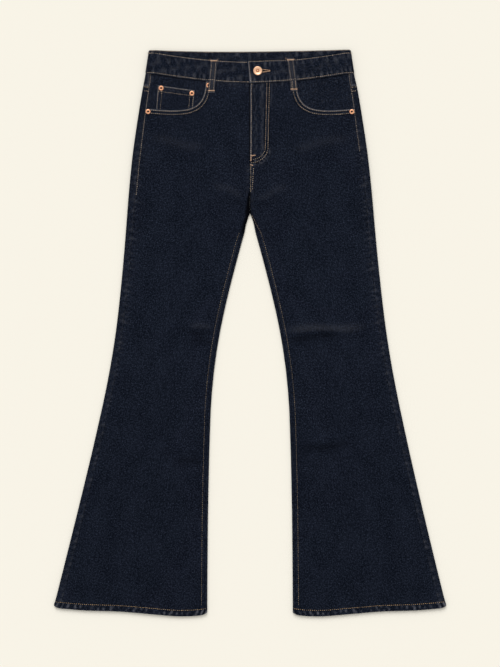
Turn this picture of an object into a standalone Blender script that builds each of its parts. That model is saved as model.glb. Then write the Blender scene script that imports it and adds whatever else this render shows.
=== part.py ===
"""Flared five-pocket jeans, lying on their back on a flat surface with the front up.

+X is the wearer's left, +Y runs from the hems to the waist and +Z is up. The origin is on the
surface, under the middle of the garment. Sizes are in metres.

Each leg is a flattened tube: the back panel lies on the surface, turns up round both edges of
the leg and ends on the front, where it is sewn to the front panel along the outseam and the inseam.
"""

from collections import namedtuple
from math import cos, hypot, pi, radians, sin

import bmesh
import bpy

MM = 0.001

# Cloth thicknesses
DENIM = 1.2 * MM
TRIM = 1.0 * MM
BAND = 2.4 * MM
HEM = 2.4 * MM
FRONT_LOOP = 1.8 * MM
BACK_LOOP = 1.4 * MM

# Air between the pieces
SEAM_GAP = 0.3 * MM
EDGE_CLEAR = 0.8 * MM
MIDDLE_CLEAR = 2.0 * MM
HEM_CLEAR = 0.6 * MM
LINER_CLEAR = 0.5 * MM

# The seat rests on the back pockets and the rear belt loops, so it lies this much higher
SEAT_LIFT = BACK_LOOP + SEAM_GAP
SEAT_LIFT_FULL_Y = 0.262
SEAT_LIFT_END_Y = 0.190

# Seams, as distances from the folded edges of the flattened tube
OUTSEAM_WRAP = 13.0 * MM
OUTSEAM_WRAP_AT_WAIST = 9.5 * MM
INSEAM_WRAP = 5.0 * MM
INSEAM_WRAP_START = 33 * MM

# Half widths of the flattened garment, from the waist down to the hem
Section = namedtuple("Section", "name y outer inner steps")
SECTIONS = (
    Section("waist", 0.5385, 0.1920, 0.0, 1),
    Section("band seam", 0.4955, 0.1985, 0.0, 1),
    Section("high hip", 0.4430, 0.2075, 0.0, 1),
    Section("hip", 0.3480, 0.2220, 0.0, 1),
    Section("seat", 0.2910, 0.2283, 0.0, 1),
    Section("crotch", 0.2290, 0.2338, 0.0, 2),
    Section("thigh", 0.1580, 0.2398, 0.0199, 2),
    Section("mid thigh", 0.0820, 0.2473, 0.0397, 2),
    Section("above knee", 0.0060, 0.2563, 0.0566, 2),
    Section("knee", -0.0700, 0.2685, 0.0682, 2),
    Section("below knee", -0.1460, 0.2837, 0.0747, 1),
    Section("calf", -0.2220, 0.3006, 0.0772, 2),
    Section("shin", -0.3360, 0.3275, 0.0797, 2),
    Section("ankle", -0.4500, 0.3554, 0.0809, 1),
    Section("hem fold", -0.5045, 0.3690, 0.0812, 1),
    Section("hem", -0.5165, 0.3725, 0.0798, 1),
)
CROTCH_ROW = [row.name for row in SECTIONS].index("crotch")
CROTCH_Y = SECTIONS[CROTCH_ROW].y
HEM_FOLD_Y = SECTIONS[-2].y
HEM_DROP = 0.0220
HEM_CORNER_RISE = 0.0070
HEM_LOWEST = 0.86
HEM_DROP_START_Y = -0.2800
HEM_STEP = 1.5 * MM
FRONT_FULL_ROW_Y = 0.3850
BACK_TOP_SHARES = (0.0, 0.37, 0.75)
HIP_Y = 0.3480
HIP_ROWS = (HIP_Y, 0.3150, 0.2850, 0.2620)

# Waistband
BAND_HEIGHT = 0.0405
BACK_BAND_RISE = 0.0025
BAND_SIDE_BOTTOM_Y = SECTIONS[0].y - BAND_HEIGHT - BACK_BAND_RISE
FRONT_BAND_DROP = 0.0210
FRONT_BAND_POWER = 1.8
BACK_BAND_DROP = 0.0055
BAND_CLEAR = 0.4 * MM
OVERLAP_END_X = {"low": 0.0005, "top": -0.0030}
UNDERLAP_END_X = 0.0330
OVERLAP_RAMP_X = 0.0620

# Yoke and back pockets
YOKE_SIDE_Y = 0.4705
YOKE_CENTRE_Y = 0.4300
BACK_POCKET_TOP_WIDTH = 0.140
BACK_POCKET_LOW_WIDTH = 0.124
BACK_POCKET_SIDE = 0.112
BACK_POCKET_POINT = 0.134
BACK_POCKET_CENTRE_X = 0.108
BACK_POCKET_TOP_Y = 0.4220
BACK_POCKET_TILT = radians(4)

# Front pockets: the scooped mouth is one cubic curve from the waistband to the outseam
SCOOP_TOP_X = {"right": 0.0840, "left": 0.0880}
SCOOP_PULLS = ((0.0005, 0.4225), (0.0260, 0.4178))
SCOOP_SIDE_Y = 0.4268
FACING_INSET = 0.0180
FACING_BOTTOM_Y = 0.3950

# Coin pocket corners on the right facing: x towards the outseam, then y
COIN_TOP_OUT = (0.1745, 0.4706)
COIN_TOP_IN = (0.1046, 0.4611)
COIN_LOW_OUT = (0.1795, 0.4080)
COIN_LOW_IN = (0.1105, 0.4080)

# Fly
FLY_WIDTH = 0.0385
FLY_CURVE_Y = 0.3520
FLY_BOTTOM_Y = 0.3205
ZIP_LOW_Y = 0.3350
ZIP_IN_X = -0.0060
ZIP_OUT_X = 0.0200

# Metal trim
RIVET_RADIUS = 5.0 * MM
RIVET_HEIGHT = 1.5 * MM
BUTTON_RADIUS = 9.0 * MM
BUTTON_X = 0.0153
BUTTON_Y = 0.4986
SHANK_RADIUS = 2.2 * MM
KEYHOLE_EYE_RADIUS = 3.0 * MM
KEYHOLE_END_X = 0.0355
KEYHOLE_SLIT = 1.2 * MM

# Belt loops: x at the top and at the bottom, then y at the top and at the bottom
Loop = namedtuple("Loop", "name top_x low_x top_y low_y")
LOOP_WIDTH = 0.0130
FRONT_LOOPS = (
    Loop("belt_loop_front_right", -0.0680, -0.0738, 0.5195, 0.4560),
    Loop("belt_loop_front_left", 0.0765, 0.0840, 0.5215, 0.4590),
)
BACK_LOOPS = (
    Loop("belt_loop_back_right", -0.1200, -0.1200, 0.5330, 0.4730),
    Loop("belt_loop_back_centre", 0.0, 0.0, 0.5315, 0.4700),
    Loop("belt_loop_back_left", 0.1200, 0.1200, 0.5330, 0.4730),
)
SIDES = {"right": -1, "left": 1}

# ---------------------------------------------------------------- plain functions


def mix(a, b, t):
    return a + (b - a) * t


def rise(value, low, high):
    """0 below low, 1 above high, and a smooth step between them."""
    t = min(max((value - low) / (high - low), 0.0), 1.0)
    return t * t * (3 - 2 * t)


def spaced(start, end, segments):
    return [mix(start, end, i / segments) for i in range(segments + 1)]


def curve_through(rows, column):
    """A smooth function of y through one column of the section table."""
    ys = [row.y for row in rows]
    values = [getattr(row, column) for row in rows]
    last = len(rows) - 1

    def slope(i):
        a, b = max(i - 1, 0), min(i + 1, last)
        return (values[b] - values[a]) / (ys[b] - ys[a])

    def at(y):
        y = min(max(y, ys[last]), ys[0])
        i = max(k for k in range(last) if y <= ys[k])
        height = ys[i + 1] - ys[i]
        t = (y - ys[i]) / height
        start = values[i] * (1 + 2 * t) + slope(i) * height * t
        end = values[i + 1] * (3 - 2 * t) + slope(i + 1) * height * (t - 1)
        return start * (1 - t) ** 2 + end * t * t

    return at


outer_edge = curve_through(SECTIONS, "outer")
leg_inner_edge = curve_through(SECTIONS[CROTCH_ROW:], "inner")


def inner_edge(y):
    return leg_inner_edge(y) if y < CROTCH_Y else 0.0


def inseam_wrap(y):
    return INSEAM_WRAP * min(max((CROTCH_Y - y) / INSEAM_WRAP_START, 0.0), 1.0)


def outseam(y):
    """Half width at which the front pieces meet the back ones on the outer side."""
    return outer_edge(y) - mix(OUTSEAM_WRAP, OUTSEAM_WRAP_AT_WAIST, rise(y, HIP_Y, SECTIONS[1].y))


def centre_seam(y):
    """Half width of the front panel's inner edge: the centre seam, then the inseam."""
    below = min(max((CROTCH_Y - y) / INSEAM_WRAP_START, 0.0), 1.0)
    return inner_edge(y) + inseam_wrap(y) + mix(SEAM_GAP / 2, SEAM_GAP, below)


def hem_slope(y, across):
    """The hems are lowest near the inseam: across is 0 at the outer edge and 1 at the inner one."""
    share = min(max((HEM_DROP_START_Y - y) / (HEM_DROP_START_Y - SECTIONS[-1].y), 0.0), 1.0)
    drop = HEM_DROP * min(across / HEM_LOWEST, 1.0)
    return y - share * (drop - HEM_CORNER_RISE * rise(across, HEM_LOWEST, 1.0))


# ---------------------------------------------------------------- heights of the layers


def cloth(y):
    """Thickness of the leg panels at a row: the hem is folded twice."""
    return mix(HEM, DENIM, rise(y, HEM_FOLD_Y, HEM_FOLD_Y + HEM_STEP))


def back_low(y):
    return SEAT_LIFT * rise(y, SEAT_LIFT_END_Y, SEAT_LIFT_FULL_Y)


def edge_clear(y):
    """Air inside the folded edges. It opens towards the hem, whose folded layers need room."""
    opening = rise(-y, -HEM_FOLD_Y - 0.070, -HEM_FOLD_Y)
    above_hem = mix(EDGE_CLEAR, HEM + HEM_CLEAR - DENIM, opening)
    return mix(HEM_CLEAR, above_hem, rise(y, HEM_FOLD_Y, HEM_FOLD_Y + HEM_STEP))


def middle_clear(y):
    return mix(HEM_CLEAR, MIDDLE_CLEAR, rise(y, HEM_FOLD_Y, HEM_FOLD_Y + HEM_STEP))


def front_low(side, x, y):
    """Height of the front panel's under face at half width x. Pockets and fly lift it."""
    outer, inner = outseam(y), centre_seam(y)
    across = min(max((outer - x) / (outer - inner), 0.0), 1.0)
    middle = middle_clear(y)
    at_side = mix(edge_clear(y), middle, rise(y, 0.345, 0.385))
    at_centre = mix(edge_clear(y), middle, rise(y, 0.240, 0.300))
    clear = middle - (middle - at_side) * (1 - across) ** 6 - (middle - at_centre) * across**6
    if side == "right":
        lift = (TRIM + SEAM_GAP) * rise(x, 0.086, 0.104) * rise(y, 0.385, 0.403)
    else:
        lift = (TRIM + SEAM_GAP) * (1 - rise(x, 0.055, 0.070)) * rise(y, 0.285, 0.313)
    return back_low(y) + cloth(y) + clear + lift


def front_high(side, x, y):
    return front_low(side, x, y) + cloth(y)


def highest_front(side, x, y, reach):
    """The front panel's highest point within a reach of half width x."""
    around = [(x + reach * i, y + reach * j) for i in (-1, 0, 1) for j in (-1, 0, 1)]
    return max(front_high(side, a, b) for a, b in around)


SEAT_HIGH = SEAT_LIFT + DENIM
LINER_LOW = SEAT_HIGH + LINER_CLEAR
FACING_HIGH = LINER_LOW + DENIM
COIN_LOW = FACING_HIGH + SEAM_GAP
COIN_HIGH = COIN_LOW + TRIM
FLY_LOW = LINER_LOW + TRIM + SEAM_GAP
BAND_BACK_MIDDLE = SEAT_LIFT + BAND / 2
BAND_FRONT_MIDDLE = BAND_BACK_MIDDLE + BAND + BAND_CLEAR
BAND_TOP_MIDDLE = BAND_FRONT_MIDDLE + BAND + SEAM_GAP
BAND_FRONT_HIGH = BAND_FRONT_MIDDLE + BAND / 2
BAND_TOP_HIGH = BAND_TOP_MIDDLE + BAND / 2

# ---------------------------------------------------------------- seam lines across the garment


def band_bottom_front(x):
    share = min(abs(x) / outer_edge(BAND_SIDE_BOTTOM_Y), 1.0)
    return BAND_SIDE_BOTTOM_Y - FRONT_BAND_DROP * (1 - share**FRONT_BAND_POWER)


def band_bottom_back(x):
    share = min(abs(x) / outer_edge(BAND_SIDE_BOTTOM_Y), 1.0)
    return BAND_SIDE_BOTTOM_Y + BACK_BAND_RISE - BACK_BAND_DROP * (1 - share**2)


def band_bottom(x, facing):
    """The band's lower edge round the garment: facing is 1 on the front and -1 on the back."""
    return mix(band_bottom_back(x), band_bottom_front(x), (1 + facing) / 2)


def yoke_seam(x):
    share = min(abs(x) / outer_edge(YOKE_SIDE_Y), 1.0)
    return mix(YOKE_CENTRE_Y, YOKE_SIDE_Y, share)


def scoop(side, t):
    """A point on the pocket mouth: t is 0 at the waistband and 1 at the outseam."""
    top = SCOOP_TOP_X[side]
    ends = ((top, band_bottom_front(top)), (outseam(SCOOP_SIDE_Y), SCOOP_SIDE_Y))
    pulls = [(top + shift, y) for shift, y in SCOOP_PULLS]
    knots = (ends[0], pulls[0], pulls[1], ends[1])
    weights = ((1 - t) ** 3, 3 * t * (1 - t) ** 2, 3 * t * t * (1 - t), t**3)
    return tuple(sum(w * knot[k] for w, knot in zip(weights, knots)) for k in (0, 1))


def evenly_along(points, segments):
    """Points spaced evenly along a line of points."""
    lengths = [hypot(b[0] - a[0], b[1] - a[1]) for a, b in zip(points, points[1:])]
    total, found = sum(lengths), []
    for target in spaced(0.0, total, segments):
        i, walked = 0, 0.0
        while i < len(lengths) - 1 and walked + lengths[i] < target:
            walked += lengths[i]
            i += 1
        t = min((target - walked) / lengths[i], 1.0)
        found.append(tuple(mix(points[i][k], points[i + 1][k], t) for k in (0, 1)))
    return found


# ---------------------------------------------------------------- making objects


def material(name, colour, roughness, metallic=0.0):
    made = bpy.data.materials.new(name)
    made.use_nodes = True
    shader = made.node_tree.nodes["Principled BSDF"]
    shader.inputs["Base Color"].default_value = (*colour, 1.0)
    shader.inputs["Roughness"].default_value = roughness
    shader.inputs["Metallic"].default_value = metallic
    return made


def finished(name, bm, look):
    """Makes an object of a bmesh, with its faces pointing outwards."""
    bmesh.ops.recalc_face_normals(bm, faces=bm.faces)
    mesh = bpy.data.meshes.new(name)
    bm.to_mesh(mesh)
    bm.free()
    mesh.materials.append(look)
    mesh.shade_smooth()
    mesh.set_sharp_from_angle(angle=radians(40))
    made = bpy.data.objects.new(name, mesh)
    bpy.context.scene.collection.objects.link(made)
    return made


def wall(name, outside, inside, look):
    """A closed sheet of cloth between two grids of points with the same rows and columns."""
    rows, columns = len(outside), len(outside[0])
    bm = bmesh.new()
    bmesh.ops.create_grid(bm, x_segments=columns - 1, y_segments=rows - 1, size=1.0)
    place = bm.verts.layers.int.new("place")
    for vert in bm.verts:
        column = round((vert.co.x + 1) / 2 * (columns - 1))
        row = round((vert.co.y + 1) / 2 * (rows - 1))
        vert[place] = row * columns + column
        vert.co = outside[row][column]
    other = bmesh.ops.extrude_face_region(bm, geom=bm.faces[:], use_keep_orig=True)
    for vert in (item for item in other["geom"] if isinstance(item, bmesh.types.BMVert)):
        vert.co = inside[vert[place] // columns][vert[place] % columns]
    return finished(name, bm, look)


def sheet(name, sign, rows, low, high, look):
    """A wall over rows of (half width, y) points, between two heights that are functions of them."""
    outside = [[(sign * x, y, high(x, y)) for x, y in row] for row in rows]
    inside = [[(sign * x, y, low(x, y)) for x, y in row] for row in rows]
    return wall(name, outside, inside, look)


def flat_sheet(name, sign, rows, low, thickness, look):
    return sheet(name, sign, rows, lambda x, y: low, lambda x, y: low + thickness, look)


def turned(name, profile, place, steps, look):
    """A turned piece: the profile runs from the axis at the top to the axis at the bottom."""
    bm = bmesh.new()
    verts = [bm.verts.new((radius, 0.0, height)) for radius, height in profile]
    edges = [bm.edges.new(pair) for pair in zip(verts, verts[1:])]
    bmesh.ops.spin(
        bm, geom=verts + edges, cent=(0, 0, 0), axis=(0, 0, 1), angle=2 * pi, steps=steps, use_merge=True
    )
    bmesh.ops.remove_doubles(bm, verts=bm.verts, dist=0.01 * MM)
    made = finished(name, bm, look)
    made.location = place
    return made


# ---------------------------------------------------------------- sections of the back pieces

WRAP_SEGMENTS = 2
FOLD_SEGMENTS = 4
FLAT_SEGMENTS = 7


def fold(centre_x, low, radius, outwards):
    """Points and outward normals round a folded edge, from the upper layer to the lower one."""
    points = []
    for angle in spaced(pi / 2, -pi / 2, FOLD_SEGMENTS):
        normal = (outwards * cos(angle), sin(angle))
        points.append((centre_x + radius * normal[0], low + radius + radius * normal[1], normal))
    return points


def back_section(y, thickness, to_inseam=True):
    """The back cloth's middle line at one row, from the outseam to the inseam or centre seam.

    Each point is half width, height, outward normal and how far across the leg it lies.
    """
    low = back_low(y) + thickness / 2
    radius = (thickness + edge_clear(y)) / 2
    outer = outer_edge(y) - thickness / 2 - radius
    up, down = (0.0, 1.0), (0.0, -1.0)
    upper = low + 2 * radius
    section = [(x, upper, up, 0.0) for x in spaced(outseam(y) + SEAM_GAP, outer, WRAP_SEGMENTS)[:-1]]
    section += [(*point, 0.0) for point in fold(outer, low, radius, 1)]
    tail = pi * radius + INSEAM_WRAP
    if y < CROTCH_Y and to_inseam:
        inner = inner_edge(y) + thickness / 2 + radius
        flat = [i / FLAT_SEGMENTS for i in range(1, FLAT_SEGMENTS)]
        section += [(mix(outer, inner, across), low, down, across) for across in flat]
        section += [(*point, 1.0) for point in reversed(fold(inner, low, radius, -1))]
        end = inner_edge(y) + max(inseam_wrap(y), 1.2 * (thickness / 2 + radius))
        section += [(x, upper, up, 1.0) for x in spaced(inner, end, 1)[1:]]
        return section
    seam = SEAM_GAP / 2
    if not to_inseam:
        return section + [(x, low, down, 1.0) for x in spaced(outer, seam, FLAT_SEGMENTS)[1:]]
    section += [(x, low, down, 0.0) for x in spaced(outer, seam + tail, FLAT_SEGMENTS)[1:]]
    return section + [(x, low, down, 1.0) for x in spaced(seam + tail, seam, FOLD_SEGMENTS + 1)[1:]]


def layered(section, thickness, place):
    """The outer and inner face of a section: place gives each of its points a y."""
    outside, inside = [], []
    for x, height, normal, across in section:
        y = place(x, normal[1], across)
        for line, away in ((outside, thickness / 2), (inside, -thickness / 2)):
            line.append((x + normal[0] * away, y, height + normal[1] * away))
    return outside, inside


def signed(sign, rows):
    return [[(sign * x, y, z) for x, y, z in row] for row in rows]


def rows_down(start, end):
    """Rows through the section table, each interval in its own number of steps."""
    rows = []
    for a, b in zip(SECTIONS[start:end], SECTIONS[start + 1 : end + 1]):
        rows += [mix(a.y, b.y, i / a.steps) for i in range(a.steps)]
    return rows


LEG_ROWS = rows_down(CROTCH_ROW, len(SECTIONS) - 2) + [HEM_FOLD_Y + HEM_STEP, HEM_FOLD_Y, SECTIONS[-1].y]

# ---------------------------------------------------------------- the pieces


def front_panel(name, side, look):
    """Hip to hem, with the scooped pocket mouth as part of its top edge."""
    waist_segments, scoop_segments = 5, 9
    top_x = SCOOP_TOP_X[side]
    waist = [
        (x, band_bottom_front(x) - SEAM_GAP) for x in spaced(SEAM_GAP / 2, top_x - SEAM_GAP, waist_segments)
    ]
    mouth = evenly_along([scoop(side, t) for t in spaced(0.0, 1.0, 40)], scoop_segments)[1:]
    top = waist + [(x, y - SEAM_GAP) for x, y in mouth]
    columns = waist_segments + scoop_segments

    def full_row(y):
        row = spaced(centre_seam(y), outseam(y), columns)
        return [(x, hem_slope(y, 1 - i / columns)) for i, x in enumerate(row)]

    full = full_row(FRONT_FULL_ROW_Y)
    halfway = [tuple(mix(a[k], b[k], 0.5) for k in (0, 1)) for a, b in zip(top, full)]
    halfway[-1] = (outseam(halfway[-1][1]), halfway[-1][1])
    rows = [top, halfway, full] + [full_row(y) for y in (*HIP_ROWS, *LEG_ROWS)]
    levels = [None, None, FRONT_FULL_ROW_Y, *HIP_ROWS, *LEG_ROWS]
    sign = SIDES[side]
    outside, inside = [], []
    for row, level in zip(rows, levels):
        heights = [(x, y, y if level is None else level) for x, y in row]
        outside.append([(sign * x, y, front_high(side, x, at)) for x, y, at in heights])
        inside.append([(sign * x, y, front_low(side, x, at)) for x, y, at in heights])
    return wall(name, outside, inside, look)


def back_panel(name, side, look):
    """Yoke seam to hem, turned up round the leg's edges onto the front."""
    outside, inside = [], []

    def add_row(y, place):
        outer_row, inner_row = layered(back_section(y, cloth(y)), cloth(y), place)
        outside.append(outer_row)
        inside.append(inner_row)

    for share in BACK_TOP_SHARES:
        nominal = mix(YOKE_SIDE_Y, FRONT_FULL_ROW_Y, share)
        add_row(nominal, lambda x, facing, across: mix(yoke_seam(x) - SEAM_GAP / 2, FRONT_FULL_ROW_Y, share))
    for level in (FRONT_FULL_ROW_Y, *HIP_ROWS, *LEG_ROWS):
        add_row(level, lambda x, facing, across: hem_slope(level, across))
    sign = SIDES[side]
    return wall(name, signed(sign, outside), signed(sign, inside), look)


def yoke(name, side, look):
    """Between the waistband and the back panel, turned up onto the front at the outseam."""
    outside, inside = [], []
    for share in (0.0, 0.5, 1.0):
        nominal = mix(BAND_SIDE_BOTTOM_Y, YOKE_SIDE_Y, share)

        def place(x, facing, across):
            return mix(band_bottom(x, facing) - SEAM_GAP, yoke_seam(x) + SEAM_GAP / 2, share)

        outer_row, inner_row = layered(back_section(nominal, DENIM, to_inseam=False), DENIM, place)
        outside.append(outer_row)
        inside.append(inner_row)
    sign = SIDES[side]
    return wall(name, signed(sign, outside), signed(sign, inside), look)


def band_line(share):
    """The waistband's middle line, from the underlap round the back to the overlap.

    The share is 0 along the band's lower edge and 1 along its top.
    """
    y = BAND_SIDE_BOTTOM_Y + share * BAND_HEIGHT
    overlap_end = mix(OVERLAP_END_X["low"], OVERLAP_END_X["top"], share)
    radius = (BAND_FRONT_MIDDLE - BAND_BACK_MIDDLE) / 2
    side = outer_edge(y) - BAND / 2 - radius
    up, down = (0.0, 1.0), (0.0, -1.0)
    front = [UNDERLAP_END_X, 0.0] + spaced(-0.02, -side, 10)[:-1]
    line = [(x, BAND_FRONT_MIDDLE, up) for x in front]
    line += fold(-side, BAND_BACK_MIDDLE, radius, -1)
    line += [(x, BAND_BACK_MIDDLE, down) for x in spaced(-side, side, 16)[1:-1]]
    line += list(reversed(fold(side, BAND_BACK_MIDDLE, radius, 1)))
    for x in spaced(side, OVERLAP_RAMP_X, 7)[1:] + [0.0480, UNDERLAP_END_X + 0.003, 0.0150, overlap_end]:
        ramp = 1 - rise(x, UNDERLAP_END_X + 0.002, OVERLAP_RAMP_X)
        line.append((x, mix(BAND_FRONT_MIDDLE, BAND_TOP_MIDDLE, ramp), up))
    return line


def waistband(name, look):
    """One strip: its right end passes under its left end at the centre front."""
    outside, inside = [], []
    for share in (0.0, 0.5, 1.0):
        outer_row, inner_row = [], []
        for x, height, normal in band_line(share):
            y = band_bottom(x, normal[1]) + share * BAND_HEIGHT
            outer_row.append((x + normal[0] * BAND / 2, y, height + normal[1] * BAND / 2))
            inner_row.append((x - normal[0] * BAND / 2, y, height - normal[1] * BAND / 2))
        outside.append(outer_row)
        inside.append(inner_row)
    made = wall(name, outside, inside, look)
    cut = made.modifiers.new("buttonhole", "BOOLEAN")
    cut.object = keyhole_cutter()
    cut.operation = "DIFFERENCE"
    return made


def keyhole_cutter():
    """The keyhole buttonhole through the overlap: a round eye for the shank and a slit."""
    half = KEYHOLE_SLIT / 2
    outline = [(KEYHOLE_END_X, BUTTON_Y - half), (KEYHOLE_END_X, BUTTON_Y + half)]
    outline += [
        (BUTTON_X + KEYHOLE_EYE_RADIUS * cos(angle), BUTTON_Y + KEYHOLE_EYE_RADIUS * sin(angle))
        for angle in spaced(radians(15), radians(345), 11)
    ]
    low, high = BAND_FRONT_HIGH + SEAM_GAP / 2, BAND_TOP_HIGH + 1 * MM
    bm = bmesh.new()
    base = bm.faces.new([bm.verts.new((x, y, low)) for x, y in outline])
    raised = bmesh.ops.extrude_face_region(bm, geom=[base], use_keep_orig=True)
    tops = [item for item in raised["geom"] if isinstance(item, bmesh.types.BMVert)]
    bmesh.ops.translate(bm, verts=tops, vec=(0, 0, high - low))
    made = finished("keyhole_cutter", bm, COPPER)
    made.hide_render = True
    made.display_type = "WIRE"
    return made


def pocket_facing(name, side, look):
    """The denim behind the pocket mouth, which reaches on under the front panel."""
    inner = SCOOP_TOP_X[side] - FACING_INSET
    rows = []
    for share in spaced(0.0, 1.0, 5):
        row = []
        for across in spaced(0.0, 1.0, 8):
            edge_y = mix(BAND_SIDE_BOTTOM_Y, FACING_BOTTOM_Y, share)
            x = mix(inner, outseam(edge_y) - SEAM_GAP, across)
            row.append((x, mix(band_bottom_front(x) - SEAM_GAP, FACING_BOTTOM_Y, share)))
        rows.append(row)
    return flat_sheet(name, SIDES[side], rows, LINER_LOW, DENIM, look)


def coin_pocket(name, look):
    rows = []
    for share in spaced(0.0, 1.0, 3):
        start = [mix(a, b, share) for a, b in zip(COIN_TOP_IN, COIN_LOW_IN)]
        end = [mix(a, b, share) for a, b in zip(COIN_TOP_OUT, COIN_LOW_OUT)]
        row = [[mix(a, b, across) for a, b in zip(start, end)] for across in spaced(0.0, 1.0, 4)]
        rows.append(row)
    return flat_sheet(name, SIDES["right"], rows, COIN_LOW, TRIM, look)


def fly_width(y):
    """The fly is straight down to FLY_CURVE_Y and then curves in to the centre seam."""
    drop = max(FLY_CURVE_Y - y, 0.0) / (FLY_CURVE_Y - FLY_BOTTOM_Y)
    return FLY_WIDTH * max(1 - drop**2, 0.0) ** 0.5


def fly_facing(name, look):
    levels = [0.4100, FLY_CURVE_Y] + [
        FLY_CURVE_Y - (FLY_CURVE_Y - FLY_BOTTOM_Y) * sin(angle) for angle in spaced(0.0, radians(80), 4)[1:]
    ]
    rows = [[(x, band_bottom_front(x) - SEAM_GAP) for x in spaced(SEAM_GAP, FLY_WIDTH, 2)]]
    rows += [[(x, y) for x in spaced(SEAM_GAP, fly_width(y), 2)] for y in levels]
    return flat_sheet(name, 1, rows, FLY_LOW, TRIM, look)


def fly_zip(name, look):
    rows = [
        [(ZIP_IN_X, top), (0.007, top), (ZIP_OUT_X, top)]
        for top in (band_bottom_front(0.0) - SEAM_GAP, ZIP_LOW_Y)
    ]
    return flat_sheet(name, 1, rows, LINER_LOW, TRIM, look)


def back_pocket(name, side, look):
    """A patch with a pointed foot. It lies under the seat and carries it."""
    columns = spaced(-1.0, 1.0, 4)
    rows = []
    for share in spaced(0.0, 1.0, 4):
        row = []
        for across in columns:
            width = mix(BACK_POCKET_TOP_WIDTH, BACK_POCKET_LOW_WIDTH, share) / 2
            depth = share * mix(BACK_POCKET_POINT, BACK_POCKET_SIDE, abs(across))
            x, y = across * width, -depth
            turned_x = x * cos(BACK_POCKET_TILT) - y * sin(BACK_POCKET_TILT)
            turned_y = x * sin(BACK_POCKET_TILT) + y * cos(BACK_POCKET_TILT)
            row.append((BACK_POCKET_CENTRE_X + turned_x, BACK_POCKET_TOP_Y + turned_y))
        rows.append(row)
    return flat_sheet(name, SIDES[side], rows, 0.0, DENIM, look)


def front_loop(loop, look):
    """A bridge from the waistband's top edge, over a rivet, to the front panel."""
    side = "left" if loop.top_x > 0 else "right"
    sewn = BAND_FRONT_HIGH + SEAM_GAP
    rivet_high = front_high(side, abs(loop.low_x), loop.low_y) + SEAM_GAP + RIVET_HEIGHT
    clear_of_rivet = rivet_high + 2 * SEAM_GAP
    foot = highest_front(side, abs(loop.low_x), loop.low_y, LOOP_WIDTH / 2) + SEAM_GAP
    length = loop.top_y - loop.low_y
    profile = (
        (0.0, sewn),
        (0.12, sewn),
        (0.25, clear_of_rivet + 0.1 * MM),
        (0.55, clear_of_rivet + 0.2 * MM),
        (0.84, clear_of_rivet),
        (0.94, foot),
        (1.0, foot),
    )
    outside, inside = [], []
    for share, low in profile:
        middle = mix(loop.top_x, loop.low_x, share)
        y = loop.top_y - share * length
        ends = [middle - LOOP_WIDTH / 2, middle + LOOP_WIDTH / 2]
        outside.append([(x, y, low + FRONT_LOOP) for x in ends])
        inside.append([(x, y, low) for x in ends])
    return wall(loop.name, outside, inside, look)


def back_loop(loop, look):
    """Pressed flat between the waistband and the surface."""
    ends = [loop.top_x - LOOP_WIDTH / 2, loop.top_x + LOOP_WIDTH / 2]
    rows = [[(x, y) for x in ends] for y in (loop.top_y, loop.low_y)]
    return flat_sheet(loop.name, 1, rows, 0.0, BACK_LOOP, look)


def rivet(name, x, y, base, look):
    radius, height = RIVET_RADIUS, RIVET_HEIGHT
    profile = (
        (0.0, 0.35 * height),
        (0.28 * radius, 0.35 * height),
        (0.38 * radius, 0.85 * height),
        (0.62 * radius, height),
        (0.90 * radius, 0.75 * height),
        (radius, 0.30 * height),
        (0.98 * radius, 0.0),
        (0.0, 0.0),
    )
    return turned(name, profile, (x, y, base), 16, look)


def button(name, look):
    """A cap with a raised rim and a centre boss, on the shank that passes the buttonhole."""
    radius = BUTTON_RADIUS
    shank_length = BAND_TOP_HIGH - BAND_FRONT_HIGH
    profile = (
        (0.0, 1.7 * MM),
        (0.16 * radius, 1.5 * MM),
        (0.28 * radius, 1.0 * MM),
        (0.50 * radius, 1.1 * MM),
        (0.66 * radius, 1.9 * MM),
        (0.86 * radius, 2.0 * MM),
        (radius, 1.0 * MM),
        (0.92 * radius, 0.0),
        (SHANK_RADIUS, 0.0),
        (SHANK_RADIUS, -shank_length),
        (0.0, -shank_length),
    )
    return turned(name, profile, (BUTTON_X, BUTTON_Y, BAND_TOP_HIGH + SEAM_GAP), 20, look)


def metal_trim(look):
    rivet("rivet_coin_outer", -0.1684, 0.4651, COIN_HIGH + SEAM_GAP, look)
    rivet("rivet_coin_inner", -0.1102, 0.4553, COIN_HIGH + SEAM_GAP, look)
    for side, sign in SIDES.items():
        corner = (0.1931, 0.4205)
        base = highest_front(side, *corner, RIVET_RADIUS) + SEAM_GAP
        rivet(f"rivet_pocket_{side}_outer", sign * corner[0], corner[1], base, look)
    for side, x, y in (("right", 0.0785, 0.4705), ("left", 0.0822, 0.4725)):
        base = highest_front(side, x, y, RIVET_RADIUS) + SEAM_GAP
        rivet(f"rivet_pocket_{side}_inner", SIDES[side] * x, y, base, look)
    button("button", look)


for old in list(bpy.data.objects):
    bpy.data.objects.remove(old, do_unlink=True)

DENIM_CLOTH = material("indigo_denim", (0.0082, 0.0103, 0.0176), 0.85)
COPPER = material("copper", (0.78, 0.36, 0.20), 0.32, metallic=1.0)
ZIP_TAPE = material("zip_tape", (0.010, 0.012, 0.020), 0.80)

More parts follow.
